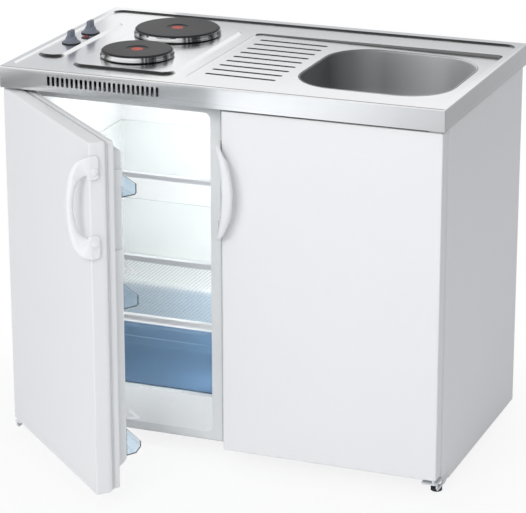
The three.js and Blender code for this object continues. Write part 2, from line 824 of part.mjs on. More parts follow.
function liner() {
  const inner = caseWall + gap;
  const frame = slab({
    x0: caseLeft + inner, x1: fridgeRight - inner, z0: caseZ0 + inner, z1: bodyTop - inner, r: 2,
  }, [[bodyFront, 0], [frameBack, 0]], 2);
  const bumps = bumpX.map((x) => pillar(
    { x0: x - bumpSize, x1: x + bumpSize, y0: rampBack + 1, y1: rampBack + 1 + bumpSize / 2, r: 2 },
    [[cavityFloor - 1, 0], [cavityFloor + bumpRise, 1]], 2,
  ));
  return join(
    cut(join(frame, cut(cavity(linerWall), box(left, 0, front, bodyFront, 0, height))), cavity(0)),
    ...bumps,
    ...ledges(shelfTops.upper, ledgeFront, ledgeBack),
    ...ledges(shelfTops.lower, ledgeFront, ledgeBack),
    ...ledges(crisperTop, ledgeFront, ledgeBack),
  );
}

put('fridge_liner', 'liner', liner());

// ---- shelves and crisper ------------------------------------------------------------------

const shelfX0 = cavityX0 + shelfSide;
const shelfX1 = cavityX1 - shelfSide;
const glassFront = shelfFront + trimLip + gap;

const pane = (top) => box(shelfX0, shelfX1, glassFront, shelfBack, top - glass, top);

// A strip along the shelf's front edge, with a lip over and under the glass.
function trim(top, high) {
  const rise = 1.5;
  const profile = { y0: shelfFront, y1: shelfFront + trimDepth, z1: top + rise, z0: top + rise - high };
  const strip = box(shelfX0, shelfX1, profile.y0, profile.y1, profile.z0, profile.z1);
  const slot = box(shelfX0 - 1, shelfX1 + 1, shelfFront + trimLip, back, top - glass - gap, top + gap);
  return cut(strip, slot);
}

for (const place of ['upper', 'lower']) {
  put(`shelf_${place}`, 'glass', pane(shelfTops[place]));
  put(`shelf_trim_${place}`, 'grey', trim(shelfTops[place], trimHeights[place]));
}
put('crisper_cover', 'glass', pane(crisperTop));
put('crisper_trim', 'white', trim(crisperTop, crisperTrim));

function drawer() {
  const x0 = shelfX0 + 1;
  const x1 = shelfX1 - 1;
  const floor = cavityFloor + gap + runner.high;
  const ring = (extra, lean, z) => roundedRectangle(
    x0 + extra, x1 - extra, drawerFront + lean + extra, drawerBack - extra, drawerRadius,
  ).map(([x, y]) => [x, y, z]);
  const shell = cut(
    loft([ring(0, drawerLean, floor), ring(0, 0, drawerTop)]),
    loft([ring(drawerWall, drawerLean, floor + drawerWall), ring(drawerWall, 0, drawerTop + 1)]),
  );
  const ridge = box(x0 + 8, x1 - 8, drawerFront - drawerLipSize / 2, drawerFront + drawerWall,
    drawerLip - drawerLipSize / 2, drawerLip + drawerLipSize / 2);
  const runners = [x0 + runner.inset, x1 - runner.inset - runner.wide].map((x) => box(
    x, x + runner.wide, drawerFront + runner.short, drawerBack - runner.short,
    cavityFloor + gap, floor + drawerWall / 2,
  ));
  return join(shell, ridge, ...runners);
}

put('crisper_drawer', 'crisper', drawer());

// ---- thermostat ---------------------------------------------------------------------------

const housingX1 = cavityX1 - gap;
const housingX0 = housingX1 - housingDepth;
const dialZ = (housingZ0 + housingZ1) / 2;

function housing() {
  const outline = roundedRectangle(housingY0, housingY1, housingZ0, housingZ1, 10, 4);
  const block = loft([[housingX1, 0], [housingX0 + 5, 1], [housingX0, 5]].map(([x, inset]) => {
    const cy = (housingY0 + housingY1) / 2;
    return outline.map(([y, z]) => [
      x, y - Math.sign(y - cy) * inset, z - Math.sign(z - dialZ) * inset,
    ]);
  }));
  return block;
}

put('thermostat_housing', 'white', housing());
put('thermostat_dial', 'grey', cut(
  rodX(dialRadius, housingX0 - gap - dialDepth, housingX0 - gap, dialY, dialZ, 20),
  box(housingX0 - dialDepth - 2, housingX0 - dialDepth + 1, dialY - 1, dialY + 1,
    dialZ + 4, dialZ + dialRadius + 1),
));

// ---- cooling ------------------------------------------------------------------------------

const compressorX = (caseLeft + fridgeRight) / 2;

function compressor() {
  const z0 = floorTop + gap;
  const top = z0 + compressorHeight;
  const r = compressorRadius;
  const can = turned([
    [0, z0 + footingHeight], [r * 0.7, z0 + footingHeight],
    [r, z0 + footingHeight + compressorBase], [r, top - compressorShoulder],
    [r * 0.88, top - compressorShoulder * 0.42], [r * 0.5, top - compressorShoulder * 0.07], [0, top],
  ], compressorX, compressorY, 28);
  const half = { x: compressorPlate.x / 2, y: compressorPlate.y / 2 };
  const plate = box(compressorX - half.x, compressorX + half.x, compressorY - half.y,
    compressorY + half.y, z0, z0 + footingHeight + 2);
  return join(can, plate);
}

put('compressor', 'black', compressor());

// One long tube, folded to and fro across the refrigerator's back.
function condenser() {
  const y = caseBack + gap + tubeRadius;
  const pitch = (condenserZ1 - condenserZ0) / (condenserRuns - 1);
  const path = new THREE.CurvePath();
  let side = -1;
  for (let i = 0; i < condenserRuns; i += 1) {
    const z = condenserZ0 + i * pitch;
    const [from, to] = side < 0 ? [condenserX0, condenserX1] : [condenserX1, condenserX0];
    path.add(new THREE.LineCurve3(new THREE.Vector3(from, y, z), new THREE.Vector3(to, y, z)));
    if (i + 1 < condenserRuns) {
      const bulge = to - side * pitch * 0.66;
      path.add(new THREE.CubicBezierCurve3(
        new THREE.Vector3(to, y, z), new THREE.Vector3(bulge, y, z),
        new THREE.Vector3(bulge, y, z + pitch), new THREE.Vector3(to, y, z + pitch),
      ));
    }
    side = -side;
  }
  const stations = path.curves.flatMap((curve) => {
    const steps = curve.isLineCurve3 ? 1 : 6;
    return Array.from({ length: steps }, (_, i) => [curve, i / steps]);
  });
  stations.push([path.curves[path.curves.length - 1], 1]);
  const across = new THREE.Vector3(0, 1, 0);
  return loft(stations.map(([curve, t]) => {
    const centre = curve.getPointAt(t);
    const normal = new THREE.Vector3().crossVectors(curve.getTangentAt(t), across);
    return Array.from({ length: 6 }, (_, k) => {
      const angle = k * Math.PI / 3;
      return centre.clone()
        .addScaledVector(across, tubeRadius * Math.cos(angle))
        .addScaledVector(normal, tubeRadius * Math.sin(angle)).toArray();
    });
  }));
}

put('condenser', 'black', condenser());

// ---- doors --------------------------------------------------------------------------------

const at = (deep) => doorFace + deep; // a depth behind the doors' faces, as a Y

function doorBlock(x0, inset = 0) {
  const outline = {
    x0: x0 + inset, x1: x0 + doorWidth - inset, z0: doorBottom + inset, z1: doorTop - inset,
    r: doorRadius,
  };
  return slab(outline, [
    [at(inset), doorRadius - inset], [at(doorRadius * 0.3), doorRadius * 0.3 - inset * 0.3],
    [at(doorRadius), 0], [at(doorFlat), 0],
    [at(doorFlat + (doorThickness - doorFlat) * 0.6), doorRearInset * 0.3],
    [at(doorThickness), doorRearInset],
  ], 3);
}

const pinHole = (x, z0, z1) => rod(pinRadius + gap, z0, z1, x, pivotY, 12);

function pinHoles(x) {
  const depthOfHole = pinReach + gap;
  return [
    pinHole(x, doorBottom - 1, doorBottom + depthOfHole),
    pinHole(x, doorTop - depthOfHole, doorTop + 1),
  ];
}

// The refrigerator's door: a skin, open behind, with solid blocks where the pins run.
function fridgeSkin() {
  const x0 = caseLeft;
  const skin = cut(doorBlock(x0), box(
    x0 + doorWall + doorRearInset, x0 + doorWidth - doorWall - doorRearInset,
    at(doorWall), at(doorThickness + 1),
    doorBottom + doorWall + doorRearInset, doorTop - doorWall - doorRearInset,
  ));
  const block = 2 * hingeInset + 2;
  const ends = [[doorBottom + 3, doorBottom + 30], [doorTop - 30, doorTop - 3]];
  const blocks = ends.map(([z0, z1]) => box(x0 + 2, x0 + block, at(1), at(doorFlat), z0, z1));
  return cut(join(skin, ...blocks), ...pinHoles(pivotX));
}

putOnDoor('fridge_door_skin', 'enamel', fridgeSkin());

const s = (along) => caseLeft + along; // a place along the refrigerator's door, from its hinge side

// The moulded inner panel: a flat flange, with a dike all round the space for the bins.
function innerPanel() {
  const x1 = doorWidth - panelInset;
  const flange = slab({
    x0: s(panelInset), x1: s(x1), z0: doorBottom + panelInset, z1: doorTop - panelInset, r: 4,
  }, [[at(doorThickness + gap), 0], [at(sealFront - gap), 0]], 2);
  const profile = (inset) => [
    [at(doorThickness + gap), dikeBottom - 28 + inset], [at(sealFront + 2), dikeBottom - 28 + inset],
    [at(dikeDepth - 6 - inset), dikeBottom - 6 + inset], [at(dikeDepth - inset), dikeBottom + 2 + inset],
    [at(dikeDepth - inset), dikeTop - 4 - inset], [at(dikeDepth - 4 - inset), dikeTop - inset],
    [at(doorThickness + gap), dikeTop - inset],
  ];
  const tapered = loft([[doorThickness + gap, -dikeDraft], [dikeDepth + 1, 0]].map(([deep, inset]) => (
    roundedRectangle(s(dikeX0 + inset), s(dikeX1 - inset), 0, height, 4, 3)
      .map(([x, z]) => [x, at(deep), z])
  )));
  const dike = prismX(profile(0), s(dikeX0 - dikeDraft), s(dikeX1 + dikeDraft)).intersect(tapered);
  const wellBottom = bins.lower.bottom - gap;
  const well = box(s(dikeX0 + dikeWidth), s(dikeX1 - dikeWidth), at(sealFront + gap),
    at(dikeDepth + 2), wellBottom, dikeTop - dikeWidth);
  const hollow = cut(
    prismX([
      [at(doorThickness), dikeBottom - 22], [at(sealFront + 2), dikeBottom - 22],
      [at(dikeDepth - panelWall - 4), dikeBottom], [at(dikeDepth - panelWall), dikeBottom + 6],
      [at(dikeDepth - panelWall), dikeTop - 6], [at(doorThickness), dikeTop - 4],
    ], s(dikeX0 + panelWall), s(dikeX1 - panelWall)),
    box(s(dikeX0 + dikeWidth - panelWall), s(dikeX1 - dikeWidth + panelWall), at(0),
      at(dikeDepth + 2), wellBottom - panelWall, dikeTop - dikeWidth + panelWall),
  );
  return cut(join(flange, dike), well, hollow);
}

putOnDoor('fridge_door_panel', 'liner', innerPanel());

function seal() {
  const z0 = doorBottom + sealOuterZ;
  const z1 = doorTop - sealOuterZ;
  const outline = { x0: s(sealOuterX), x1: s(doorWidth - sealOuterX), z0, z1, r: 4 };
  const hole = {
    x0: s(sealInnerX), x1: s(doorWidth - sealInnerX), z0: z0 + sealBottomWidth,
    z1: z1 - sealTopWidth, r: 3,
  };
  return cut(
    slab(outline, [[at(sealFront), 1], [at(sealFront + 4), 0], [at(sealRear), 2]], 2),
    slab(hole, [[at(sealFront - 1), 0], [at(sealRear + 1), 0]], 2),
  );
}

putOnDoor('fridge_door_seal', 'seal', seal());

// A bin's plan: narrow between the dikes, wider in front of them, with slanting ends.
function binPlan(inset) {
  const narrow = dikeWidth + dikeX0 + 1;
  const x0 = s(dikeX0 + binEnd);
  const x1 = s(dikeX1 - binEnd);
  const n0 = s(narrow) + inset;
  const n1 = s(dikeX1 - dikeWidth - 1) - inset;
  const neck = at(dikeDepth + gap) + inset;
  return [
    [n0, at(sealFront + 2 * gap) + inset], [n1, at(sealFront + 2 * gap) + inset],
    [n1, neck], [x1 - inset, neck],
    [x1 - binTaper - inset, at(binDepth) - inset], [x0 + binTaper + inset, at(binDepth) - inset],
    [x0 + inset, neck], [n0, neck],
  ];
}

// A bin's body drawn in by inset, with its lower front edge taken off. On the lower bin that
// clears the sloping sill.
function binBody({ bottom, chamfer }, inset, top) {
  const run = chamfer + inset * Math.SQRT2;
  const reach = 10; // of the wedge, past the bin's bottom and front
  const wedge = [
    [at(binDepth - run - reach), bottom - reach], [at(binDepth + reach), bottom - reach],
    [at(binDepth + reach), bottom + run + reach],
  ];
  return cut(prismZ(binPlan(inset), bottom + inset, top), prismX(wedge, s(0), s(doorWidth)));
}

function bin(sizes) {
  const { back: high, front: low } = sizes;
  const slope = prismX([
    [at(dikeDepth), high], [at(binDepth - 4), low], [at(binDepth + 5), low],
    [at(binDepth + 5), high + 5], [at(dikeDepth), high + 5],
  ], s(0), s(doorWidth));
  return cut(binBody(sizes, 0, high), binBody(sizes, binWall, high + 1), slope);
}

for (const [place, sizes] of Object.entries(bins)) {
  putOnDoor(`door_bin_${place}`, 'bin', bin(sizes));
}

// A bottle guard: a front bar between two three-cornered arms that stand on the dikes.
function guard({ tip, top, foot }) {
  const reach = at(binDepth - 1);
  const root = dikeDepth + guardStrip;
  const arm = [
    [at(dikeDepth + gap), foot], [at(dikeDepth + gap), top], [at(root), top],
    [reach, tip + guardBar], [reach, tip],
  ];
  const x0 = s(dikeX0 + binEnd + binTaper);
  const x1 = s(dikeX1 - binEnd - binTaper);
  const window = [
    [at(root), foot + guardStrip], [at(root), top - 2 * guardStrip],
    [reach - 2.5 * guardStrip, tip + 1.6 * guardStrip],
  ];
  const arms = [x0, x1 - guardThickness].map((x) => cut(
    prismX(arm, x, x + guardThickness), prismX(window, x - 1, x + guardThickness + 1),
  ));
  const bar = box(x0 + 1, x1 - 1, reach - guardBar, reach, tip, tip + guardBar);
  return join(bar, ...arms);
}

for (const [place, sizes] of Object.entries(guards)) {
  putOnDoor(`bottle_guard_${place}`, 'white', guard(sizes));
}

// ---- handles ------------------------------------------------------------------------------

// The grip is drawn on the refrigerator's side: out is the way from the door's edge into the
// gap between the doors, and edge is where that face of the door lies.
function handle(edge, out, drop) {
  const middle = (handleTop + handleBottom) / 2 - drop;
  const padMiddle = handleTop - padHeight / 2 - drop;
  const half = (handleTop - handleBottom) / 2;
  const padOut = gap + padThickness / 2;
  // how far forward of the door's face, how far out past its edge, and how tall and thick
  const stations = [
    { z: padMiddle, forward: -padDepth, outward: padOut, tall: padHeight - 6, thick: padThickness },
    { z: padMiddle, forward: -padDepth + 3, outward: padOut, tall: padHeight, thick: padThickness },
    { z: padMiddle, forward: 1, outward: padOut, tall: padHeight, thick: padThickness },
    { z: padMiddle - 1, forward: 9, outward: -1, tall: padHeight - 5, thick: 9 },
    { z: padMiddle - 7, forward: 17, outward: -10, tall: 35, thick: 15 },
    { z: padMiddle - 22, forward: 25.5, outward: -18, tall: 24, thick: 20 },
    { z: middle + half * 0.34, forward: 31.5, outward: -24.5, tall: 17, thick: 23 },
    { z: middle, forward: gripReach, outward: -gripLean, tall: gripThickness, thick: gripWidth },
  ];
  const lower = stations.slice(0, -1).reverse().map((p) => ({ ...p, z: 2 * middle - p.z }));
  const all = [...stations, ...lower];
  const centres = all.map((p) => new THREE.Vector3(edge + out * p.outward, doorFace - p.forward, p.z));
  const rings = all.map((p, i) => {
    const before = centres[Math.max(i - 1, 0)];
    const after = centres[Math.min(i + 1, all.length - 1)];
    const along = after.clone().sub(before).setX(0).normalize();
    const side = new THREE.Vector3(1, 0, 0);
    const up = new THREE.Vector3().crossVectors(side, along);
    return roundedRectangle(-p.thick / 2, p.thick / 2, -p.tall / 2, p.tall / 2, p.thick * 0.42, 3)
      .map(([u, v]) => centres[i].clone().addScaledVector(side, u).addScaledVector(up, v).toArray());
  });
  return loft(rings);
}

// A domed cover over each of the handle's two screws.
function screwCap(edge, out, z) {
  const seat = edge + out * (2 * gap + padThickness);
  const y = at(capDepth);
  const rings = [[0, 1], [0.6, 1], [1, 0.72]].map(([share, size]) => (
    Array.from({ length: capSides }, (_, k) => {
      const angle = k * 2 * Math.PI / capSides;
      return [
        seat + out * capRise * share, y + capRadius * size * Math.cos(angle),
        z + capRadius * size * Math.sin(angle),
      ];
    })
  ));
  return loft(rings);
}

const capHeights = { upper: handleTop - capOffset, lower: handleBottom + capOffset };
const fridgeEdge = caseLeft + doorWidth;
putOnDoor('fridge_handle', 'white', handle(fridgeEdge, 1, 0));
put('cupboard_handle', 'white', handle(cupboardDoorX, -1, cupboardHandleDrop));
for (const [place, z] of Object.entries(capHeights)) {
  putOnDoor(`fridge_handle_cap_${place}`, 'white', screwCap(fridgeEdge, 1, z));
  put(`cupboard_handle_cap_${place}`, 'white', screwCap(cupboardDoorX, -1, z - cupboardHandleDrop));
}

// ---- hinges -------------------------------------------------------------------------------

// Each plate lies on or under the carcass and reaches out over or under the door's corner.
function hingeArm(side, z0, z1) {
  const outer = side * caseRight;
  const inner = outer - side * hingePlateX;
  const [x0, x1] = [Math.min(outer, inner), Math.max(outer, inner)];
  const plate = pillar(
    { x0, x1, y0: doorFace + 2, y1: doorFace + 2 + hingePlateY, r: 6 }, [[z0, 0], [z1, 0]], 3,
  );
  return { plate, x0, x1, outer, pin: outer - side * hingeInset };
}

function topHinge(side) {
  const z0 = doorTop + gap;
  const z1 = z0 + hingePlate;
  const { plate, pin } = hingeArm(side, z0, z1);
  const joined = join(plate, rod(pinRadius, doorTop - pinReach, z1, pin, pivotY, 12));
  if (side < 0) return joined;
  // the cupboard has no top board, so this plate is cut round the side panel and screwed to it
  const inner = panelLeft - gap;
  const flange = box(inner - hingePlate, inner, panelFront, at(hingePlateY), z0 - 25, z1);
  const notch = box(inner, caseRight + 1, panelFront - gap, 0, z0 - 1, z1 + 1);
  return cut(join(joined, flange), notch);
}

function bottomHinge(side) {
  const z1 = bodyBottom - gap;
  const z0 = z1 - hingePlate;
  const { plate, outer, pin } = hingeArm(side, z0, z1);
  const wallX = [outer, outer - side * bracketSide].sort((a, b) => a - b);
  const y0 = doorFace + 8;
  const y1 = doorFace + 2 + hingePlateY;
  const foot = z1 - bracketDrop;
  const wall = prismX([
    [y0, z1], [y0 + 2, z1 - bracketDrop * 0.6], [y0 + 10, foot], [y1 - bracketSlope, foot],
    [y1, foot + bracketSlope / 3], [y1, z1],
  ], ...wallX);
  const slotTop = z0 - hingePlate;
  const slot = prismX(roundedRectangle(
    at(bracketSlot.from), at(bracketSlot.to), slotTop - bracketSlot.high, slotTop,
    bracketSlot.high / 2, 3,
  ), wallX[0] - 1, wallX[1] + 1);
  const peg = rod(pinRadius, z0, doorBottom + pinReach, pin, pivotY, 12);
  return cut(join(plate, wall, peg), slot);
}

for (const [name, side] of Object.entries({ fridge: -1, cupboard: 1 })) {
  put(`${name}_hinge_top`, 'zinc', topHinge(side));
  put(`${name}_hinge_bottom`, 'grey', bottomHinge(side));
}

// ---- sink cupboard ------------------------------------------------------------------------

// The side panel's front edge is rounded, and its foot is notched for the hinge bracket.
function sidePanel() {
  const board = pillar({
    x0: panelLeft, x1: caseRight, y0: panelFront, y1: caseBack, r: 0.5,
  }, [[panelBottom, 0], [underside - gap, 0]], 1);
  const corner = cut(
    box(caseRight - panelRadius, caseRight + 1, panelFront - 1, panelFront + panelRadius, 0, height),
    rod(panelRadius, 0, height, caseRight - panelRadius, panelFront + panelRadius, 32),
  );
  const notch = box(panelLeft - 1, caseRight + 1, front, at(2 + hingePlateY) + gap, 0, bodyBottom);
  return cut(board, corner, notch);
}

put('side_panel', 'enamel', sidePanel());

const ribFoot = drainFloor(dividerLeft) - grooveDepth - sheet;
put('cupboard_divider', 'board', box(
  dividerLeft, dividerRight, bodyFront, caseBack, bodyBottom, ribFoot - 2 * gap,
));
const roomX0 = dividerRight + gap;
const roomX1 = panelLeft - gap;
put('cupboard_floor', 'board', box(
  roomX0, roomX1, bodyFront + 2, backBoardY - gap, bodyBottom, bodyBottom + floorBoard,
));
put('cupboard_back', 'board', cut(
  box(roomX0, roomX1, backBoardY, backBoardY + backBoard, bodyBottom, bodyTop),
  rodY(pipeRadius + 6, backBoardY - 1, back, wasteX, trapOutlet),
));

function cupboardDoor() {
  const plug = slab({
    x0: cupboardDoorX + plugInset, x1: caseRight - plugInset, z0: doorBottom + plugInset,
    z1: doorTop - plugInset, r: 4,
  }, [[at(doorThickness - 2), 0], [at(plugDepth), 2]], 3);
  const pin = caseRight - hingeInset;
  return cut(join(doorBlock(cupboardDoorX), plug), ...pinHoles(pin));
}

put('cupboard_door', 'enamel', cupboardDoor());

// ---- feet ---------------------------------------------------------------------------------

function foot(x, y, top) {
  const rings = [
    [0, 0], [footRadius - 1, 0], [footRadius, 1.5], [footRadius, footHeight - 1],
    [footRadius - 1, footHeight], [footStem, footHeight], [footStem, top - gap], [0, top - gap],
  ];
  return turned(rings, x, y, 18);
}

const plateUnder = bodyBottom - gap - hingePlate;
const middleFootX = (dividerLeft + dividerRight) / 2;
put('foot_front_left', 'black', foot(fridgeFootX, fridgeFootY, bodyBottom));
put('foot_front_middle', 'black', foot(middleFootX, fridgeFootY, bodyBottom));
put('foot_front_right', 'black', foot(bracketFoot.x, bracketFoot.y, plateUnder));
put('foot_rear_left', 'black', foot(-rearFootX, rearFootY, bodyBottom));
put('foot_rear_right', 'black', foot(rearFootX, rearFootY, bodyBottom));

// ---- origin: on the floor, below the middle of the whole --------------------------------------

unit.updateMatrixWorld(true);
const bounds = new THREE.Box3().setFromObject(unit, true);
const middleOfBase = bounds.getCenter(new THREE.Vector3()).setZ(bounds.min.z);
unit.position.sub(middleOfBase);

const group = new THREE.Group();
group.add(unit);
export default group;
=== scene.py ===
"""A kitchenette unit with sink and hob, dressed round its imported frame."""

import json
import math

import bmesh
import bpy
from mathutils import Matrix, Vector


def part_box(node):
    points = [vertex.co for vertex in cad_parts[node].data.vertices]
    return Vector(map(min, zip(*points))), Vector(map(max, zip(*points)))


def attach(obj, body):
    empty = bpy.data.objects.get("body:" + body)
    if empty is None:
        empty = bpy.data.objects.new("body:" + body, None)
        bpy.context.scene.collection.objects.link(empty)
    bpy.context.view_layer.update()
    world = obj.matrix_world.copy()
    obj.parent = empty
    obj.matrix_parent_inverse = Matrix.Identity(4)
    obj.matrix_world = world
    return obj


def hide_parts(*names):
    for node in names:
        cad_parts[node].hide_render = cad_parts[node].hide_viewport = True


bl_info = {
    "name": "Kitchenette Unit",
    "version": (1, 0, 0),
    "blender": (4, 5, 0),
    "location": "3D View > Sidebar > Kitchenette",
    "description": "Dresses a compact kitchenette unit with sink, hob and refrigerator",
    "category": "Object",
}

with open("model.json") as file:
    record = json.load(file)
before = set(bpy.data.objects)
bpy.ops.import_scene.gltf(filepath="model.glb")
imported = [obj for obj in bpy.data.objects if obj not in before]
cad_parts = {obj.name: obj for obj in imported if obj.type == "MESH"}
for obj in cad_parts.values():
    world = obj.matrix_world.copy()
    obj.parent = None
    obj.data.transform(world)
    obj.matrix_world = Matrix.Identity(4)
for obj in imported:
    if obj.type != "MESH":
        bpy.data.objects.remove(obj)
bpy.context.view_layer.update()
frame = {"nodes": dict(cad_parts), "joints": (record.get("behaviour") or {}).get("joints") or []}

MM = 0.001
UNIT_FRONT = -300  # the worktop's front edge on the maker's drawing, where y is 0 at mid-depth
SET_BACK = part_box("worktop")[0].y - UNIT_FRONT * MM

# The refrigerator's door stands open in the frame; its own drawing shows it closed.
HINGE = next(j for j in frame["joints"] if j["name"] == "fridge_door_hinge")
OPEN_ANGLE = math.radians(HINGE["range_deg"][0])
PIVOT = (-487, -287)

PHOTO_WIDTH = 526
SENSOR = 36


def at(x, y, z):
    """A point of the maker's drawing, in millimetres, as a point of the frame."""
    return Vector((x * MM, y * MM + SET_BACK, z * MM))


def swung(bm):
    """Swings a mesh drawn on the closed refrigerator door to where the door stands."""
    pivot = Matrix.Translation(at(*PIVOT, 0))
    bm.transform(pivot @ Matrix.Rotation(OPEN_ANGLE, 4, "Z") @ pivot.inverted())
    return bm


# ---- the sizes and colours that a user would change ------------------------------------------


def shade(name, description, default):
    return bpy.props.FloatVectorProperty(
        name=name, description=description, default=default, size=3, subtype="COLOR", min=0, max=1
    )


def length(name, description, default):
    return bpy.props.FloatProperty(
        name=name, description=description, default=default * MM, unit="LENGTH", subtype="DISTANCE",
        min=0, max=1,
    )


class KitchenetteColours(bpy.types.PropertyGroup):
    steel: shade("Steel", "Brushed sheet of the worktop", (0.93, 0.935, 0.945))
    bowl: shade("Bowl", "Satin steel of the drawn bowl", (0.86, 0.87, 0.88))
    chrome: shade("Chrome", "Collars round the hotplates", (0.78, 0.785, 0.79))
    iron: shade("Iron", "Cast hotplates", (0.022, 0.022, 0.024))
    mark: shade("Hotplate mark", "Dot that marks a fast hotplate", (0.62, 0.05, 0.02))
    knob: shade("Knobs", "Control knobs", (0.19, 0.21, 0.26))
    lens: shade("Pilot lens", "Lens of the pilot lamp", (0.28, 0.01, 0.008))
    enamel: shade("Enamel", "Painted doors and side panel", (0.84, 0.845, 0.855))
    trim: shade("Grey trim", "Grey mouldings and painted brackets", (0.72, 0.74, 0.76))
    liner: shade("Liner", "Refrigerator's inside", (0.84, 0.857, 0.862))
    plastic: shade("White plastic", "Handles, guards and housings", (0.84, 0.85, 0.865))
    bins: shade("Door bins", "Clear blue door bins", (0.84, 0.92, 0.98))
    crisper: shade("Crisper", "Clear blue crisper drawer", (0.47, 0.61, 0.75))


class KitchenetteSizes(bpy.types.PropertyGroup):
    fold: length("Fold", "Radius on the folds of the worktop", 1.1)
    mark: length("Mark", "Diameter of the dot on a hotplate", 27)
    orange_peel: length("Orange peel", "Height of the ripple in the enamel", 0.02)


# ---- shared effects --------------------------------------------------------------------------


def connect(tree, value, socket):
    """Links a value that is itself a socket, and sets any other."""
    if isinstance(value, bpy.types.NodeSocket):
        tree.links.new(value, socket)
    else:
        socket.default_value = value


def add(tree, kind, inputs=None, **settings):
    """Adds a node with its settings and inputs."""
    node = tree.nodes.new(kind)
    for name, value in settings.items():
        setattr(node, name, value)
    for name, value in (inputs or {}).items():
        connect(tree, value, node.inputs[name])
    return node


def reckon(tree, operation, *values, **settings):
    """The result of a Math node."""
    inputs = dict(enumerate(values))
    return add(tree, "ShaderNodeMath", inputs, operation=operation, **settings).outputs[0]


def vectors(tree, operation, *values):
    """The result of a Vector Math node: a number for a length or a dot product."""
    node = add(tree, "ShaderNodeVectorMath", dict(enumerate(values)), operation=operation)
    return node.outputs["Value" if operation in ("LENGTH", "DOT_PRODUCT") else "Vector"]


def remap(tree, value, low, high, to_low, to_high):
    inputs = {"Value": value, "From Min": low, "From Max": high, "To Min": to_low, "To Max": to_high}
    return add(tree, "ShaderNodeMapRange", inputs).outputs["Result"]


def noise(tree, place, scale, detail, **more):
    inputs = {"Vector": place, "Scale": scale, "Detail": detail, **more}
    return add(tree, "ShaderNodeTexNoise", inputs).outputs["Fac"]


def normal(tree):
    return add(tree, "ShaderNodeNewGeometry").outputs["Normal"]


def split(tree, vector):
    return add(tree, "ShaderNodeSeparateXYZ", {0: vector}).outputs


def draw_grain(group, given):
    """Noise drawn out along an axis: brush marks on steel, or the peel of paint and plastic."""
    drawn = vectors(group, "MULTIPLY", given["Place"], given["Stretch"])
    return noise(group, drawn, given["Scale"], 3.0, Roughness=0.6)


def draw_tone(group, given):
    """A colour that drifts a little lighter and darker over the surface."""
    drift = noise(group, given["Place"], given["Scale"], 4.0)
    swing = reckon(group, "MULTIPLY", reckon(group, "SUBTRACT", drift, 0.5), given["Amount"])
    factor = reckon(group, "MULTIPLY_ADD", swing, 3.0, 1.0)
    inputs = {0: given["Colour"], "Scale": factor}
    return add(group, "ShaderNodeVectorMath", inputs, operation="SCALE").outputs[0]


def draw_wear(group, given):
    """A mask of the edges where handling has rubbed the finish, broken up by noise."""
    rounded = add(group, "ShaderNodeBevel", {"Radius": given["Width"]}, samples=4).outputs[0]
    turn = vectors(group, "DOT_PRODUCT", rounded, normal(group))
    edge = remap(group, turn, 0.98, 0.75, 0.0, 1.0)
    patches = remap(group, noise(group, given["Place"], 160.0, 4.0), 0.42, 0.62, 0.0, 1.0)
    return reckon(group, "MULTIPLY", reckon(group, "MULTIPLY", edge, patches), given["Amount"])


def draw_dust(group, given):
    """A mask of the faces that look up, where fine dust settles."""
    level = remap(group, split(group, normal(group))["Z"], 0.6, 1.0, 0.0, 1.0)
    specks = remap(group, noise(group, given["Place"], 30.0, 6.0), 0.4, 0.75, 0.0, 1.0)
    return reckon(group, "MULTIPLY", reckon(group, "MULTIPLY", level, specks), given["Amount"])


def draw_slope_shade(group, given):
    """A mask of painted shade: a painted dark reflection on the pressed steps that face the front, and a
    painted shadow on the sheet's underside.
    """
    facing = split(group, normal(group))
    front = remap(group, facing["Y"], -0.06, -0.35, 0.0, 1.0)
    skirt, field = at(0, UNIT_FRONT + 3, 0).y, at(0, UNIT_FRONT + 6, 0).y
    behind = remap(group, split(group, given["Place"])["Y"], skirt, field, 0.0, 1.0)
    under = remap(group, facing["Z"], -0.3, -0.7, 0.0, 1.0)
    return reckon(group, "MAXIMUM", reckon(group, "MULTIPLY", front, behind), under)


def draw_painted_reflection(group, given):
    """A mask of painted dark reflection on a turned form: its flanks, broken into upright bands, and its
    top and foot.
    """
    facing = split(group, normal(group))
    flank = remap(group, reckon(group, "ABSOLUTE", facing["X"]), 0.3, 0.52, 0.0, 1.0)
    flat = vectors(group, "MULTIPLY", given["Place"], (1, 1, 0))
    around = noise(group, vectors(group, "NORMALIZE", flat), 5.0, 2.0)
    bands = remap(group, around, 0.42, 0.52, 0.5, 1.0)
    top = remap(group, facing["Z"], 0.5, 0.8, 0.0, 0.75)
    foot = remap(group, split(group, given["Place"])["Z"], -0.0125, -0.0145, 0.0, 0.95)
    ends = reckon(group, "MAXIMUM", foot, top)
    both = reckon(group, "MAXIMUM", reckon(group, "MULTIPLY", flank, bands), ends)
    return reckon(group, "MULTIPLY", both, given["Amount"])


def draw_bowl_shade(group, given):
    """Painted light and shade across the bowl: a value that rises from the side in its own shade to the
    open side, and rises towards the bowl's floor.
    """
    place = split(group, given["Place"])
    across = remap(group, place["X"], 0.12, 0.33, 0.0, 0.8)
    sunk = remap(group, place["Z"], 0.76, 0.7, 0.0, 0.5)
    return reckon(group, "ADD", across, sunk, use_clamp=True)


# Each effect's drawing, the name of what it puts out, and its inputs beside Place.
EFFECTS = {
    "Grain": (draw_grain, "Value", {"Stretch": (1, 1, 1), "Scale": 100.0}),
    "Tone": (draw_tone, "Colour", {"Colour": (0.8, 0.8, 0.8, 1), "Scale": 4.0, "Amount": 0.04}),
    "Edge wear": (draw_wear, "Mask", {"Width": 0.002, "Amount": 0.5}),
    "Dust": (draw_dust, "Mask", {"Amount": 0.1}),
    "Painted slope shade": (draw_slope_shade, "Mask", {}),
    "Painted dark reflection": (draw_painted_reflection, "Mask", {"Amount": 0.9}),
    "Painted bowl shade": (draw_bowl_shade, "Value", {}),
}


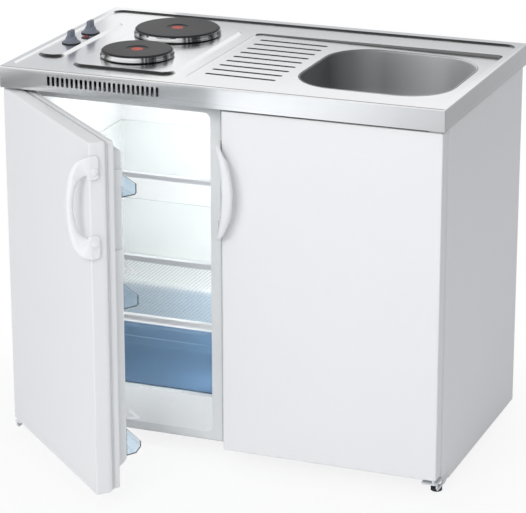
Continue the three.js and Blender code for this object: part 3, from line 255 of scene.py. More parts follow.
def effect(name):
    """A shared effect, built as a shader node group with named sockets."""
    draw, result, inputs = EFFECTS[name]
    group = bpy.data.node_groups.new(name, "ShaderNodeTree")
    for label, default in {"Place": (0, 0, 0), **inputs}.items():
        kind = "Color" if label == "Colour" else "Vector" if isinstance(default, tuple) else "Float"
        socket = group.interface.new_socket(label, in_out="INPUT", socket_type="NodeSocket" + kind)
        socket.default_value = default
    kind = "NodeSocketColor" if result == "Colour" else "NodeSocketFloat"
    group.interface.new_socket(result, in_out="OUTPUT", socket_type=kind)
    drawn = draw(group, group.nodes.new("NodeGroupInput").outputs)
    group.links.new(drawn, group.nodes.new("NodeGroupOutput").inputs[result])
    return group


class Finish:
    """A material in the making: its tree, its shader and the place on the piece."""

    def __init__(self, name, roughness, metallic=0.0, **plain):
        self.material = bpy.data.materials.new(name)
        self.material.use_nodes = True
        self.tree = self.material.node_tree
        self.shader = self.tree.nodes["Principled BSDF"]
        for socket, value in {"Roughness": roughness, "Metallic": metallic, **plain}.items():
            self.shader.inputs[socket.replace("_", " ")].default_value = value
        self.place = add(self.tree, "ShaderNodeTexCoord").outputs["Object"]

    def use(self, name, **inputs):
        """Places a shared effect and returns its one output."""
        group = bpy.data.node_groups.get(name) or effect(name)
        inputs = {"Place": self.place, **inputs}
        return add(self.tree, "ShaderNodeGroup", inputs, node_tree=group).outputs[0]

    def feed(self, socket, value):
        self.tree.links.new(value, self.shader.inputs[socket])

    def mix(self, mask, low, high):
        node = add(self.tree, "ShaderNodeMix", data_type="RGBA")
        for name, value in (("Factor", mask), ("A", low), ("B", high)):
            connect(self.tree, value, next(s for s in node.inputs if s.name == name and s.enabled))
        return next(s for s in node.outputs if s.enabled)

    def vary_roughness(self, value, roughness, less, more):
        """Lets a value of the surface drive the roughness, between two shares of it."""
        low, high = roughness * less, roughness * more
        self.feed("Roughness", remap(self.tree, value, 0.3, 0.7, low, high))

    def relief(self, height, depth):
        bump = add(self.tree, "ShaderNodeBump", {"Height": height, "Distance": depth})
        self.feed("Normal", bump.outputs["Normal"])


def rgba(colour):
    return (*colour, 1.0)


def times(colour, factor):
    return tuple(c * factor for c in colour)


def coated(name, colour, roughness, worn=None, metallic=0.0, tone=0.02, tone_scale=3.0, grain=220.0,
           peel=0.02, wear=0.3, dust=0.05, **plain):
    """Paint, plastic, rubber or plated steel: a drifting tone, a fine peel, rubbed edges and dust."""
    finish = Finish(name, roughness, metallic, **plain)
    base = finish.use("Tone", Colour=rgba(colour), Scale=tone_scale, Amount=tone)
    if worn is not None:
        base = finish.mix(finish.use("Edge wear", Width=0.0025, Amount=wear), base, rgba(worn))
    if dust:
        settled = tuple(0.75 * c + 0.25 * 0.6 for c in colour)
        base = finish.mix(finish.use("Dust", Amount=dust), base, rgba(settled))
    finish.feed("Base Color", base)
    marks = finish.use("Grain", Scale=grain)
    finish.vary_roughness(marks, roughness, 0.88, 1.15)
    finish.relief(marks, peel * MM)
    return finish


def brushed(name, colour, roughness, shaded=0.0, tone=0.03, metallic=1.0, shade_colour=None):
    """Steel sheet with fine brush marks along X, with a painted dark reflection on the pressed steps that
    face the front, a painted shadow on its underside, and painted shade across a bowl.
    """
    finish = Finish(name, roughness, metallic)
    marks = finish.use("Grain", Stretch=(1, 160, 160), Scale=7.0)
    base = finish.use("Tone", Colour=rgba(colour), Scale=3.0, Amount=tone)
    streaks = remap(finish.tree, marks, 0.35, 0.65, 0.0, 0.3)
    base = finish.mix(streaks, base, rgba(times(colour, 0.9)))
    # Painted shade on the bowl: darker towards the side in its own shade and high on its walls.
    if shade_colour is not None:
        base = finish.mix(finish.use("Painted bowl shade"), rgba(shade_colour), base)
    # Painted shade: the steps that face the front darken to a painted dark reflection, and the underside
    # to a painted shadow.
    if shaded:
        drawn = reckon(finish.tree, "MULTIPLY", finish.use("Painted slope shade"), shaded)
        base = finish.mix(drawn, base, rgba(times(colour, 0.1)))
    finish.feed("Base Color", base)
    finish.vary_roughness(finish.use("Grain", Scale=4.0), roughness, 0.88, 1.14)
    finish.relief(marks, 0.0006 * MM)
    return finish


def chromed(name, colour, roughness):
    """A polished collar, with a painted dark reflection where it turns away to the sides, in broken bands,
    and on its top and foot.
    """
    finish = Finish(name, roughness, 1.0)
    base = finish.use("Tone", Colour=rgba(colour), Scale=12.0, Amount=0.03)
    # Painted reflection: the flanks, top and foot darken almost to black.
    painted_reflection = finish.use("Painted dark reflection", Amount=0.93)
    finish.feed("Base Color", finish.mix(painted_reflection, base, rgba((0.012, 0.012, 0.014))))
    marks = finish.use("Grain", Stretch=(1, 1, 30), Scale=30.0)
    finish.vary_roughness(marks, roughness, 0.8, 1.4)
    return finish


def clear(name, colour, roughness, transmission, ripple=0.0, scale=40.0, passes=0.9, **plain):
    """Clear glass or plastic, with a faint drift of tint and a moulded or rolled ripple.

    Light on its way to another surface passes straight through, since the renderer has no
    caustics that would bring it there."""
    finish = Finish(name, roughness, 0.0, Transmission_Weight=transmission, **plain)
    finish.feed("Base Color", finish.use("Tone", Colour=rgba(colour), Scale=6.0, Amount=0.015))
    wave = finish.use("Grain", Scale=scale)
    finish.vary_roughness(wave, roughness, 0.8, 1.3)
    rays = add(finish.tree, "ShaderNodeLightPath").outputs
    going_on = reckon(finish.tree, "MAXIMUM", rays["Is Shadow Ray"], rays["Is Diffuse Ray"])
    finish.feed("Alpha", remap(finish.tree, going_on, 0.0, 1.0, 1.0, 1.0 - passes))
    if ripple:
        finish.relief(wave, ripple * MM)
    return finish


def cast_iron(name, colour, mark, mark_size):
    """A turned hotplate, with its rings of tool marks and the painted dot in the middle."""
    finish = Finish(name, 0.42, 0.22, Specular_IOR_Level=0.32)
    tree = finish.tree
    radius = vectors(tree, "LENGTH", vectors(tree, "MULTIPLY", finish.place, (1, 1, 0)))
    base = finish.use("Tone", Colour=rgba(colour), Scale=26.0, Amount=0.12)
    rings = add(tree, "ShaderNodeTexWave", {"Vector": finish.place, "Scale": 130.0, "Distortion": 0.6},
                wave_type="RINGS", rings_direction="Z").outputs["Fac"]
    ringed = remap(tree, rings, 0.0, 1.0, 0.0, 0.35)
    base = finish.mix(ringed, base, rgba(times(colour, 1.5)))
    edge = mark_size / 2
    dot = remap(tree, radius, edge, edge - 0.0006, 0.0, 1.0)
    speckle = finish.use("Grain", Scale=420.0)
    paint = reckon(tree, "MULTIPLY", dot, remap(tree, speckle, 0.25, 0.36, 0.55, 1.0))
    finish.feed("Base Color", finish.mix(paint, base, rgba(mark)))
    finish.feed("Roughness", remap(tree, speckle, 0.3, 0.7, 0.36, 0.5))
    finish.relief(rings, 0.02 * MM)
    return finish


FINISHES = {}


def finish_for(slot):
    """The material for one of the record's slots, made when it is first asked for."""
    if slot not in FINISHES:
        paint = bpy.context.scene.kitchenette_colours
        sizes = bpy.context.scene.kitchenette_sizes
        rubbed = (0.6, 0.61, 0.62)
        board = (0.76, 0.765, 0.77)
        makers = {
            "steel": lambda: brushed("Brushed steel", paint.steel, 0.2, shaded=0.9),
            "satin": lambda: brushed("Satin steel", paint.bowl, 0.33, tone=0.06, metallic=0.62,
                                     shade_colour=times(paint.bowl, 0.2)),
            "chrome": lambda: chromed("Chrome", paint.chrome, 0.08),
            "iron": lambda: cast_iron("Cast iron", paint.iron, paint.mark, sizes.mark),
            "slate": lambda: coated("Slate plastic", paint.knob, 0.38, worn=(0.3, 0.31, 0.34), wear=0.4),
            "lamp": lambda: coated("Pilot lens", paint.lens, 0.12, tone=0.1, tone_scale=60.0, peel=0.01,
                                   dust=0.0, Coat_Weight=0.6),
            "zinc": lambda: coated("Zinc plate", (0.5, 0.51, 0.52), 0.42, metallic=0.9, tone=0.1,
                                   tone_scale=40.0, grain=90.0, worn=rubbed),
            "enamel": lambda: coated("White enamel", paint.enamel, 0.32, tone=0.008, grain=320.0,
                                     peel=sizes.orange_peel / MM, worn=(0.74, 0.75, 0.76), wear=0.15,
                                     dust=0.0, Coat_Weight=0.25, Coat_Roughness=0.15),
            "grey": lambda: coated("Grey enamel", paint.trim, 0.4, worn=rubbed),
            "liner": lambda: coated("Liner plastic", paint.liner, 0.3, tone=0.015, grain=140.0,
                                    worn=(0.9, 0.92, 0.93), wear=0.2, dust=0.0),
            "foam": lambda: coated("Insulating foam", (0.72, 0.6, 0.28), 0.9, tone=0.1, tone_scale=30.0,
                                   peel=0.5, grain=120.0),
            "glass": lambda: clear("Shelf glass", (0.955, 0.985, 0.975), 0.03, 1.0, IOR=1.5),
            "crisper": lambda: clear("Crisper plastic", paint.crisper, 0.08, 0.94, ripple=0.02,
                                     passes=0.7, IOR=1.3),
            "bin": lambda: clear("Bin plastic", paint.bins, 0.05, 0.97, ripple=0.006, scale=14.0, IOR=1.3),
            "seal": lambda: coated("Door gasket", (0.82, 0.83, 0.84), 0.6, tone=0.02, grain=260.0,
                                   worn=(0.55, 0.56, 0.57), dust=0.05),
            "white": lambda: coated("White plastic", paint.plastic, 0.3, tone=0.01, grain=260.0,
                                    worn=(0.78, 0.79, 0.8), wear=0.2, dust=0.0),
            "black": lambda: coated("Black paint", (0.018, 0.018, 0.02), 0.45, worn=(0.16, 0.16, 0.17),
                                    wear=0.5, dust=0.25),
            "foot": lambda: coated("Foot plastic", (0.03, 0.03, 0.033), 0.5, worn=(0.1, 0.1, 0.1)),
            "board": lambda: coated("Carcass board", board, 0.45, tone=0.03, tone_scale=6.0,
                                    grain=380.0, peel=0.03, dust=0.08, worn=times(board, 0.8),
                                    wear=0.2),
        }
        FINISHES[slot] = makers[slot]().material
    return FINISHES[slot]


# ---- making pieces ---------------------------------------------------------------------------


def drawn_from(node):
    """The mesh of a CAD node to work on, with its flat faces made whole again."""
    bm = bmesh.new()
    bm.from_mesh(frame["nodes"][node].data)
    bmesh.ops.remove_doubles(bm, verts=bm.verts, dist=2e-5)
    bmesh.ops.dissolve_limit(bm, angle_limit=math.radians(0.7), verts=bm.verts, edges=bm.edges)
    return bm


def eased(bm, radius, steps=2, sharper_than=28, where=None):
    """Rounds the edges that turn by more than an angle, or those of them that a test picks."""
    edges = [
        e for e in bm.edges
        if len(e.link_faces) == 2 and e.calc_face_angle() > math.radians(sharper_than)
        and (where is None or all(where(v.co) for v in e.verts))
    ]
    bmesh.ops.bevel(bm, geom=edges, offset=radius, offset_type="OFFSET", segments=steps, profile=0.5,
                    affect="EDGES", clamp_overlap=True)
    return bm


def placed(name, data):
    """A new object of the scene."""
    made = bpy.data.objects.new(name, data)
    bpy.context.scene.collection.objects.link(made)
    return made


def foot_of(node):
    """The middle of a CAD node's underside, which is on the axis of a turned one."""
    low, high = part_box(node)
    return Vector(((low.x + high.x) / 2, (low.y + high.y) / 2, low.z))


def piece(name, bm, body, slot, replaces=(), crease=32, place=None):
    """Turns a mesh in the making into a piece that rides on a body and takes a slot's finish."""
    mesh = bpy.data.meshes.new(name)
    bm.to_mesh(mesh)
    bm.free()
    for label in ("custom_normal", "sharp_edge", "sharp_face"):
        if label in mesh.attributes:
            mesh.attributes.remove(mesh.attributes[label])
    mesh.polygons.foreach_set("use_smooth", [True] * len(mesh.polygons))
    mesh.set_sharp_from_angle(angle=math.radians(crease))
    made = placed(name, mesh)
    if place is not None:
        made.location = place
    flats = made.modifiers.new("Flat faces stay flat", "WEIGHTED_NORMAL")
    flats.keep_sharp = True
    flats.weight = 100
    mesh.materials.clear()
    mesh.materials.append(finish_for(slot))
    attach(made, body)
    if replaces:
        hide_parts(*replaces)
    return made


def keep(nodes, slot):
    """Gives CAD nodes whose shape is right their finish."""
    for name in nodes:
        node = frame["nodes"][name]
        node.data.materials.clear()
        node.data.materials.append(finish_for(slot))


def rework(name, node, body, slot, radius, crease=32, **easing):
    """A CAD node's own form in the node's place, its edges rounded by a radius in millimetres."""
    return piece(name, eased(drawn_from(node), radius * MM, **easing), body, slot, [node], crease)


def circle(sides):
    """The cosine and sine of equal steps of a full turn."""
    turns = [2 * math.pi * k / sides for k in range(sides)]
    return [(math.cos(t), math.sin(t)) for t in turns]


def skinned(rings, loop=False, caps=True):
    """Joins rings of as many points into one surface, closed by caps or into a loop."""
    bm = bmesh.new()
    rows = [[bm.verts.new(p) for p in ring] for ring in rings]
    pairs = list(zip(rows, rows[1:])) + ([(rows[-1], rows[0])] if loop else [])
    count = len(rows[0])
    for low, high in pairs:
        for i in range(count):
            j = (i + 1) % count
            bm.faces.new((low[i], low[j], high[j], high[i]))
    if caps and not loop:
        bm.faces.new(rows[0][::-1])
        bm.faces.new(rows[-1])
    bmesh.ops.remove_doubles(bm, verts=bm.verts, dist=1e-7)
    bmesh.ops.recalc_face_normals(bm, faces=bm.faces)
    return bm


def lathed(profile, sides=96, loop=False):
    """Turns a profile of radii and heights, in millimetres, about the Z axis."""
    rings = [[(r * MM * c, r * MM * s, z * MM) for c, s in circle(sides)] for r, z in profile]
    return skinned(rings, loop=loop, caps=False)


def tube(points, radius, sides=10):
    """A round tube along a path of points, in millimetres of the drawing."""
    path = [at(*p) for p in points]
    rings = []
    across = None
    for i, p in enumerate(path):
        along = (path[min(i + 1, len(path) - 1)] - path[max(i - 1, 0)]).normalized()
        if across is None:
            across = along.orthogonal().normalized()
        across = (across - along * across.dot(along)).normalized()
        other = along.cross(across)
        rings.append([p + (across * c + other * s) * radius * MM for c, s in circle(sides)])
    return skinned(rings)


def joined(meshes):
    """Several meshes in the making as one."""
    whole = bmesh.new()
    for bm in meshes:
        part = bpy.data.meshes.new("part")
        bm.to_mesh(part)
        bm.free()
        whole.from_mesh(part)
        bpy.data.meshes.remove(part)
    return whole


def smooth_course(stations, steps=6):
    """Rows of numbers, such as points, on a smooth curve that passes through the given rows."""
    rows = []
    last = len(stations) - 1
    for i in range(last):
        before, a, b, after = (stations[min(max(k, 0), last)] for k in (i - 1, i, i + 1, i + 2))
        for step in range(steps):
            t = step / steps
            rows.append([
                0.5 * (2 * q + (r - p) * t + (2 * p - 5 * q + 4 * r - s) * t ** 2
                       + (3 * q - p - 3 * r + s) * t ** 3)
                for p, q, r, s in zip(before, a, b, after)
            ])
    rows.append(list(stations[last]))
    return rows


def outline(u0, u1, v0, v1, radius, steps=8):
    """Points round a rectangle with round corners."""
    points = []
    corners = ((u1 - radius, v0 + radius, -90), (u1 - radius, v1 - radius, 0),
               (u0 + radius, v1 - radius, 90), (u0 + radius, v0 + radius, 180))
    for cu, cv, start in corners:
        for k in range(steps + 1):
            turn = math.radians(start + 90 * k / steps)
            points.append((cu + radius * math.cos(turn), cv + radius * math.sin(turn)))
    return points


def block(x0, x1, y0, y1, z0, z1, radius, steps=3):
    """A box of the drawing with all its edges rounded."""
    bm = bmesh.new()
    bmesh.ops.create_cube(bm, size=1)
    low, high = at(x0, y0, z0), at(x1, y1, z1)
    for v in bm.verts:
        v.co = Vector(low[k] if v.co[k] < 0 else high[k] for k in range(3))
    bmesh.ops.bevel(bm, geom=bm.edges[:], offset=radius * MM, segments=steps, profile=0.5,
                    affect="EDGES", clamp_overlap=True)
    return bm


# ---- worktop and sink ------------------------------------------------------------------------

FIELD = 846.5  # height of the sheet inside the raised rim
EMBOSS = 851.5  # height of the field that carries the controls
DRAINER = {"x": -97, "length": 575, "dip": 2.5, "fall": 4.0}
GROOVES = {"x0": -72, "x1": 88, "y": 139, "pitch": 39.75, "count": 9, "wider": 0.5, "deeper": 1.3}
VENTS = {"x": -383, "pitch": 10.96, "count": 24, "z0": 816, "z1": 837, "wider": 0.85}


def drain_floor(x):
    """Height of the drainer, which falls towards the bowl."""
    share = (x - DRAINER["x"]) / DRAINER["length"]
    return FIELD - (DRAINER["dip"] + DRAINER["fall"] * share)


class KITCHENETTE_OT_worktop(bpy.types.Operator):
    """Make the pressed steel worktop"""

    bl_idname = "kitchenette.worktop"
    bl_label = "Worktop"

    def execute(self, context):
        fold = context.scene.kitchenette_sizes.fold
        bm = drawn_from("worktop")
        front = at(0, UNIT_FRONT + 1, 0).y
        above = at(0, 0, FIELD - 12).z
        eased(bm, fold, steps=3, sharper_than=12,
              where=lambda p: p.z > above and p.y > front and not self.on_drainer(p))
        self.open_vents(bm)
        self.deepen_grooves(bm)
        piece("worktop_sheet", bm, "unit", "steel", ["worktop"], crease=40)
        return {"FINISHED"}

    def on_drainer(self, p):
        """Whether a point lies low on the drainer, whose fine steps keep their own edges."""
        x = p.x / MM
        return p.z / MM < drain_floor(x) + 0.8 and x > GROOVES["x0"] - 8

    def deepen_grooves(self, bm):
        """Draws the drainer's grooves a little wider, with their steps pressed in."""
        for v in bm.verts:
            x, y, z = v.co.x / MM, (v.co.y - SET_BACK) / MM, v.co.z / MM
            row = round((GROOVES["y"] - y) / GROOVES["pitch"])
            off = y - GROOVES["y"] + row * GROOVES["pitch"]
            inside = GROOVES["x0"] - 7 < x < GROOVES["x1"] + 7 and 0 <= row < GROOVES["count"]
            if inside and abs(off) < 6 and z > 830:
                v.co.y += GROOVES["wider"] * off * MM
                if z < drain_floor(x) - 1.0:
                    v.co.z -= GROOVES["deeper"] * MM

    def open_vents(self, bm):
        """Opens the slots in the skirt a little, to the width that a punch leaves."""
        behind = at(0, UNIT_FRONT + 2, 0).y
        for v in bm.verts:
            slot = round((v.co.x / MM - VENTS["x"]) / VENTS["pitch"])
            if v.co.y > behind or not 0 <= slot < VENTS["count"]:
                continue
            if not VENTS["z0"] - 0.2 < v.co.z / MM < VENTS["z1"] + 0.2:
                continue
            off = v.co.x / MM - VENTS["x"] - slot * VENTS["pitch"]
            if 0.2 < abs(off) < 2.6:
                v.co.x += math.copysign(VENTS["wider"] * MM, off)


BOWL = {"x0": 113, "x1": 457, "y0": -197, "y1": 157, "r": 105, "rim": 842.5}
WASTE = {"x": 285, "y": -20, "hole": 30.5}


class KITCHENETTE_OT_sink(bpy.types.Operator):
    """Make the drawn bowl, its waste and the trap"""

    bl_idname = "kitchenette.sink"
    bl_label = "Sink"

    def execute(self, context):
        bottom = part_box("sink_bowl")[0].z / MM
        rim, wall, lip, taper, fillet = BOWL["rim"], 0.9, 3.2, 9.8, 34
        drop = rim - bottom - wall - lip - fillet
        levels = []
        for k in range(7):
            turn = math.radians(13.8 * k)
            levels.append((-lip * (1 - math.cos(turn)), lip * math.sin(turn)))
        levels += [(-lip - drop * k / 5, lip + taper * k / 5) for k in range(1, 6)]
        foot_in = lip + taper
        for k in range(1, 11):
            turn = math.radians(9 * k)
            inset = foot_in + fillet * (1 - math.cos(turn))
            levels.append((-lip - drop - fillet * math.sin(turn), inset))
        rings = []
        for fall, inset in levels:
            ring = outline(BOWL["x0"] + wall + inset, BOWL["x1"] - wall - inset,
                           BOWL["y0"] + wall + inset, BOWL["y1"] - wall - inset,
                           BOWL["r"] - wall - inset * 0.7, 16)
            tilt = max(0.0, 1 + fall / 60)
            rings.append([at(x, y, rim + fall + tilt * (drain_floor(x) - rim)) for x, y in ring])
        centre = at(WASTE["x"], WASTE["y"], rim + levels[-1][0])
        foot = rings[-1]
        dish = 1.2 * MM
        for shrink in (0.75, 0.5, 0.3):
            sunk = Vector((0, 0, dish * (1 - shrink)))
            rings.append([centre + (p - centre) * shrink - sunk for p in foot])
        hole, sunk = WASTE["hole"], Vector((0, 0, dish))
        rings.append([centre + (p - centre).normalized() * hole * MM - sunk for p in foot])
        bm = skinned(rings, caps=False)
        bmesh.ops.solidify(bm, geom=bm.faces[:], thickness=-wall * MM)
        bmesh.ops.recalc_face_normals(bm, faces=bm.faces)
        piece("bowl_drawn", bm, "unit", "satin", ["sink_bowl"], crease=50)
        rework("waste_strainer", "sink_waste", "unit", "chrome", 0.5)
        rework("trap_body", "waste_trap", "unit", "white", 0.8)
        return {"FINISHED"}


# ---- hob -------------------------------------------------------------------------------------


class KITCHENETTE_OT_hotplates(bpy.types.Operator):
    """Turn the two hotplates and their collars"""

    bl_idname = "kitchenette.hotplates"
    bl_label = "Hotplates"

    def execute(self, context):
        for side in ("rear", "front"):
            low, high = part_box("hotplate_" + side)
            r = (high.x - low.x) / 2 / MM
            middle = foot_of("hotplate_" + side)
            middle.z = high.z
            plate = [
                (0, -1.6), (14, -1.6), (21.4, -1.55), (23.2, -1.3), (24.4, -0.6), (25.3, -0.12),
                (26.6, 0), (r * 0.6, 0), (r - 7, 0), (r - 3.2, -0.12), (r - 1.6, -0.5), (r - 0.6, -1.2),
                (r - 0.1, -2.2), (r - 0.1, -4.4), (r - 0.5, -5.1), (r - 1.2, -5.5), (r - 12, -5.5),
                (r - 12, -22.5), (0, -22.5),
            ]
            piece(f"plate_{side}", lathed(plate, 160), "unit", "iron", ["hotplate_" + side],
                  place=middle)
            foot = (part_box("hotplate_ring_" + side)[0].z - high.z) / MM
            seat = -5.8
            inner, outer = r - 11.7, r + 4.5
            ring = [
                (inner, foot), (outer - 4.5, foot), (outer - 2.4, foot + 0.5), (outer - 0.9, foot + 1.7),
                (outer - 0.15, foot + 3.2), (outer, foot + 4.4), (outer - 0.25, foot + 5.6),
                (outer - 1.0, foot + 6.9), (outer - 2.0, (foot + seat) / 2 + 3.6), (r + 2.2, seat + 2.1),
                (r + 1.5, seat + 2.5), (r + 0.8, seat + 2.4), (r + 0.35, seat + 1.9), (r + 0.35, seat),
                (inner, seat),
            ]
            piece(f"collar_{side}", lathed(ring, 160, loop=True), "unit", "chrome",
                  ["hotplate_ring_" + side], place=middle, crease=38)
        keep(["hotplate_cup_rear", "hotplate_cup_front", "hob_tray"], "zinc")
        return {"FINISHED"}


class KITCHENETTE_OT_controls(bpy.types.Operator):
    """Make the knobs, their switches and the pilot lamp"""

    bl_idname = "kitchenette.controls"
    bl_label = "Controls"

    def execute(self, context):
        for side in ("rear", "front"):
            axis = foot_of("knob_" + side)
            body = f"knob_{side}_body"
            base = [(3.4, 0), (20.2, 0), (20.9, 0.5), (21, 1.3), (20.7, 2.2), (19.8, 2.5), (3.4, 2.5)]
            piece(f"knob_base_{side}", lathed(base, 72, loop=True), body, "black", place=axis)
            cone = [
                (3.4, 2.5), (19.6, 2.5), (19.4, 3.2), (18, 4.3), (16, 5.5), (14.2, 7.2), (12.9, 9.4),
                (12.1, 11.8), (11.4, 13.9), (10.2, 15.3), (8.6, 15.9), (3.4, 16),
            ]
            piece(f"knob_cone_{side}", lathed(cone, 72, loop=True), body, "slate",
                  ["knob_" + side], place=axis)
            rings = []
            for z, inset in ((4.5, 0), (20, 0.1), (26.4, 0.5), (28.2, 1.0), (28.8, 1.7), (29, 2.6)):
                ring = outline(-5 + inset, 5 - inset, -12 + inset, 12 - inset, 2.4 - inset * 0.3, 6)
                rings.append([(x * MM, y * MM, z * MM) for x, y in ring])
            piece(f"knob_bar_{side}", skinned(rings), body, "slate", place=axis)
        axis = foot_of("pilot_lamp")
        axis.z = at(0, 0, EMBOSS + 0.3).z
        bezel = [(6.2, 0), (8.7, 0), (9, 0.3), (8.9, 1.1), (8.2, 1.5), (7, 1.5), (6.2, 1.1)]
        piece("pilot_bezel", lathed(bezel, 48, loop=True), "unit", "black", place=axis)
        lens = [(0, -14), (4.9, -14), (4.9, -0.2), (6.1, 0), (6.1, 1.2), (5.6, 2.4), (4.4, 3.4),
                (2.4, 3.9), (0, 4)]
        piece("pilot_lens", lathed(lens, 48), "unit", "lamp", ["pilot_lamp"], place=axis)
        keep(["spindle_rear", "spindle_front"], "zinc")
        for side in ("rear", "front"):
            rework(f"energy_switch_{side}", "switch_" + side, "unit", "white", 0.8)
        return {"FINISHED"}


# ---- refrigerator ----------------------------------------------------------------------------


CONDENSER = {"x0": -460, "x1": -60, "y": 287.8, "z0": 300, "z1": 740, "runs": 12, "wires": 22}


class KITCHENETTE_OT_fridge(bpy.types.Operator):
    """Make the refrigerator's case, liner, thermostat and cooling"""

    bl_idname = "kitchenette.fridge"
    bl_label = "Refrigerator"

    def execute(self, context):
        rework("case_wrap", "fridge_case", "unit", "grey", 0.4)
        keep(["fridge_insulation"], "foam")
        rework("liner_shell", "fridge_liner", "unit", "liner", 1.6, crease=40, steps=3)
        rework("thermostat_box", "thermostat_housing", "unit", "white", 1.0)
        rework("thermostat_knob", "thermostat_dial", "dial", "grey", 0.7)
        self.compressor()
        self.condenser()
        return {"FINISHED"}

    def compressor(self):
        """A welded can on its plate, with its terminal cover and the pipes that leave it."""
        low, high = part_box("compressor")
        r = (high.y - low.y) / 2 / MM
        x, y, z = (low.x + high.x) / 2 / MM, (low.y + high.y - 2 * SET_BACK) / 2 / MM, low.z / MM
        shell = r * 0.985
        can = [
            (0, 10), (r * 0.6, 10), (r * 0.8, 13), (r * 0.92, 20), (shell, 31), (shell, 83),
            (r, 83.6), (r, 88.4), (shell, 89), (shell, 106), (r * 0.96, 118), (r * 0.9, 129),
            (r * 0.8, 139.5), (r * 0.65, 149), (r * 0.43, 156), (r * 0.2, 159.4), (0, 160),
        ]
        piece("compressor_can", lathed(can), "unit", "black", ["compressor"], crease=50,
              place=at(x, y, z))
        plate = block(x - 100, x + 100, y - 50, y + 50, z, z + 3, 1)
        posts = [block(x + u - 9, x + u + 9, y + v - 9, y + v + 9, z + 2, z + 14, 3)
                 for u in (-86, 86) for v in (-36, 36)]
        piece("compressor_plate", joined([plate, *posts]), "unit", "black")
        cover = block(x - 26, x + 26, y + r - 8, y + r + 14, z + 62, z + 118, 4)
        piece("terminal_cover", cover, "unit", "foot")
        behind = CONDENSER["y"]
        out = smooth_course([
            (x - 30, y + 40, z + 140), (x - 34, y + 62, z + 158), (x - 40, y + 98, z + 166),
            (x - 60, behind, 205), (-440, behind, 214), (-482, behind, 236), (-485, behind, 280),
            (-474, behind, 300), (-460, behind, 300),
        ])
        back = smooth_course([(x + 34, y + 36, z + 142), (x + 38, y + 60, z + 165),
                              (x + 44, y + 78, z + 190), (x + 44, y + 80, z + 214)])
        piece("compressor_pipes", joined([tube(out, 2.4), tube(back, 3.2)]), "unit", "black")

    def condenser(self):
        """A serpentine of tube between upright wires."""
        low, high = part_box("condenser")
        y = (low.y + high.y - 2 * SET_BACK) / 2 / MM
        pitch = (CONDENSER["z1"] - CONDENSER["z0"]) / (CONDENSER["runs"] - 1)
        path = []
        for run in range(CONDENSER["runs"]):
            z = CONDENSER["z0"] + run * pitch
            side = 1 if run % 2 == 0 else -1
            start, end = (CONDENSER["x0"], CONDENSER["x1"])[::side]
            path += [(start, y, z), (end, y, z)]
            if run + 1 < CONDENSER["runs"]:
                for step in range(1, 12):
                    t = step / 12
                    reach = side * pitch * 0.66 * 3 * t * (1 - t)
                    rise = 3 * (1 - t) * t ** 2 + t ** 3
                    path.append((end + reach, y, z + pitch * rise))
        serpentine = tube(path, 2.5, 12)
        wires = []
        span = CONDENSER["x1"] - CONDENSER["x0"] - 20
        for k in range(CONDENSER["wires"]):
            x = CONDENSER["x0"] + 10 + span * k / (CONDENSER["wires"] - 1)
            ends = (CONDENSER["z0"] - 8, CONDENSER["z1"] + 8)
            wires.append(tube([(x, y + 3.1, z) for z in ends], 0.8, 8))
        piece("condenser_tube", serpentine, "unit", "black", ["condenser"], crease=70)
        piece("condenser_wires", joined(wires), "unit", "black", crease=70)


class KITCHENETTE_OT_shelves(bpy.types.Operator):
    """Make the glass shelves, their trims and the crisper"""

    bl_idname = "kitchenette.shelves"
    bl_label = "Shelves and crisper"

    def execute(self, context):
        for place in ("upper", "lower"):
            rework(f"glass_{place}", f"shelf_{place}", "unit", "glass", 0.6)
            rework(f"glass_trim_{place}", f"shelf_trim_{place}", "unit", "grey", 0.5)
        piece("crisper_lid", self.rolled_pane("crisper_cover"), "unit", "glass", ["crisper_cover"],
              crease=60)
        rework("crisper_lid_trim", "crisper_trim", "unit", "white", 0.6)
        rework("crisper_box", "crisper_drawer", "crisper", "crisper", 0.6, crease=45)
        front = (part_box("crisper_drawer")[0].y - SET_BACK) / MM
        # Thin strips of the lighter bin plastic on the lip's lower and upper edges: the lip's edges, made
        # lighter than the drawer as a painted highlight line.
        for name, z in (("under", 222), ("over", 249)):
            lip_edge_highlight = block(-446, -52, front - 0.5, front + 0.6, z, z + 1.1, 0.3)
            piece(f"crisper_lip_edge_highlight_{name}", lip_edge_highlight, "crisper", "bin")
        return {"FINISHED"}

    def rolled_pane(self, node):
        """Patterned glass, with ribs rolled into its upper side."""
        low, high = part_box(node)
        ribs, steps = 44, 6
        upper = []
        for k in range(ribs * steps + 1):
            dip = 0.5 * (1 - math.cos(2 * math.pi * k / steps))
            upper.append((low.x + (high.x - low.x) * k / (ribs * steps), high.z - dip * 0.4 * MM))
        ring = upper + [(high.x, low.z), (low.x, low.z)]
        return skinned([[(x, y, z) for x, z in ring] for y in (low.y, high.y)])


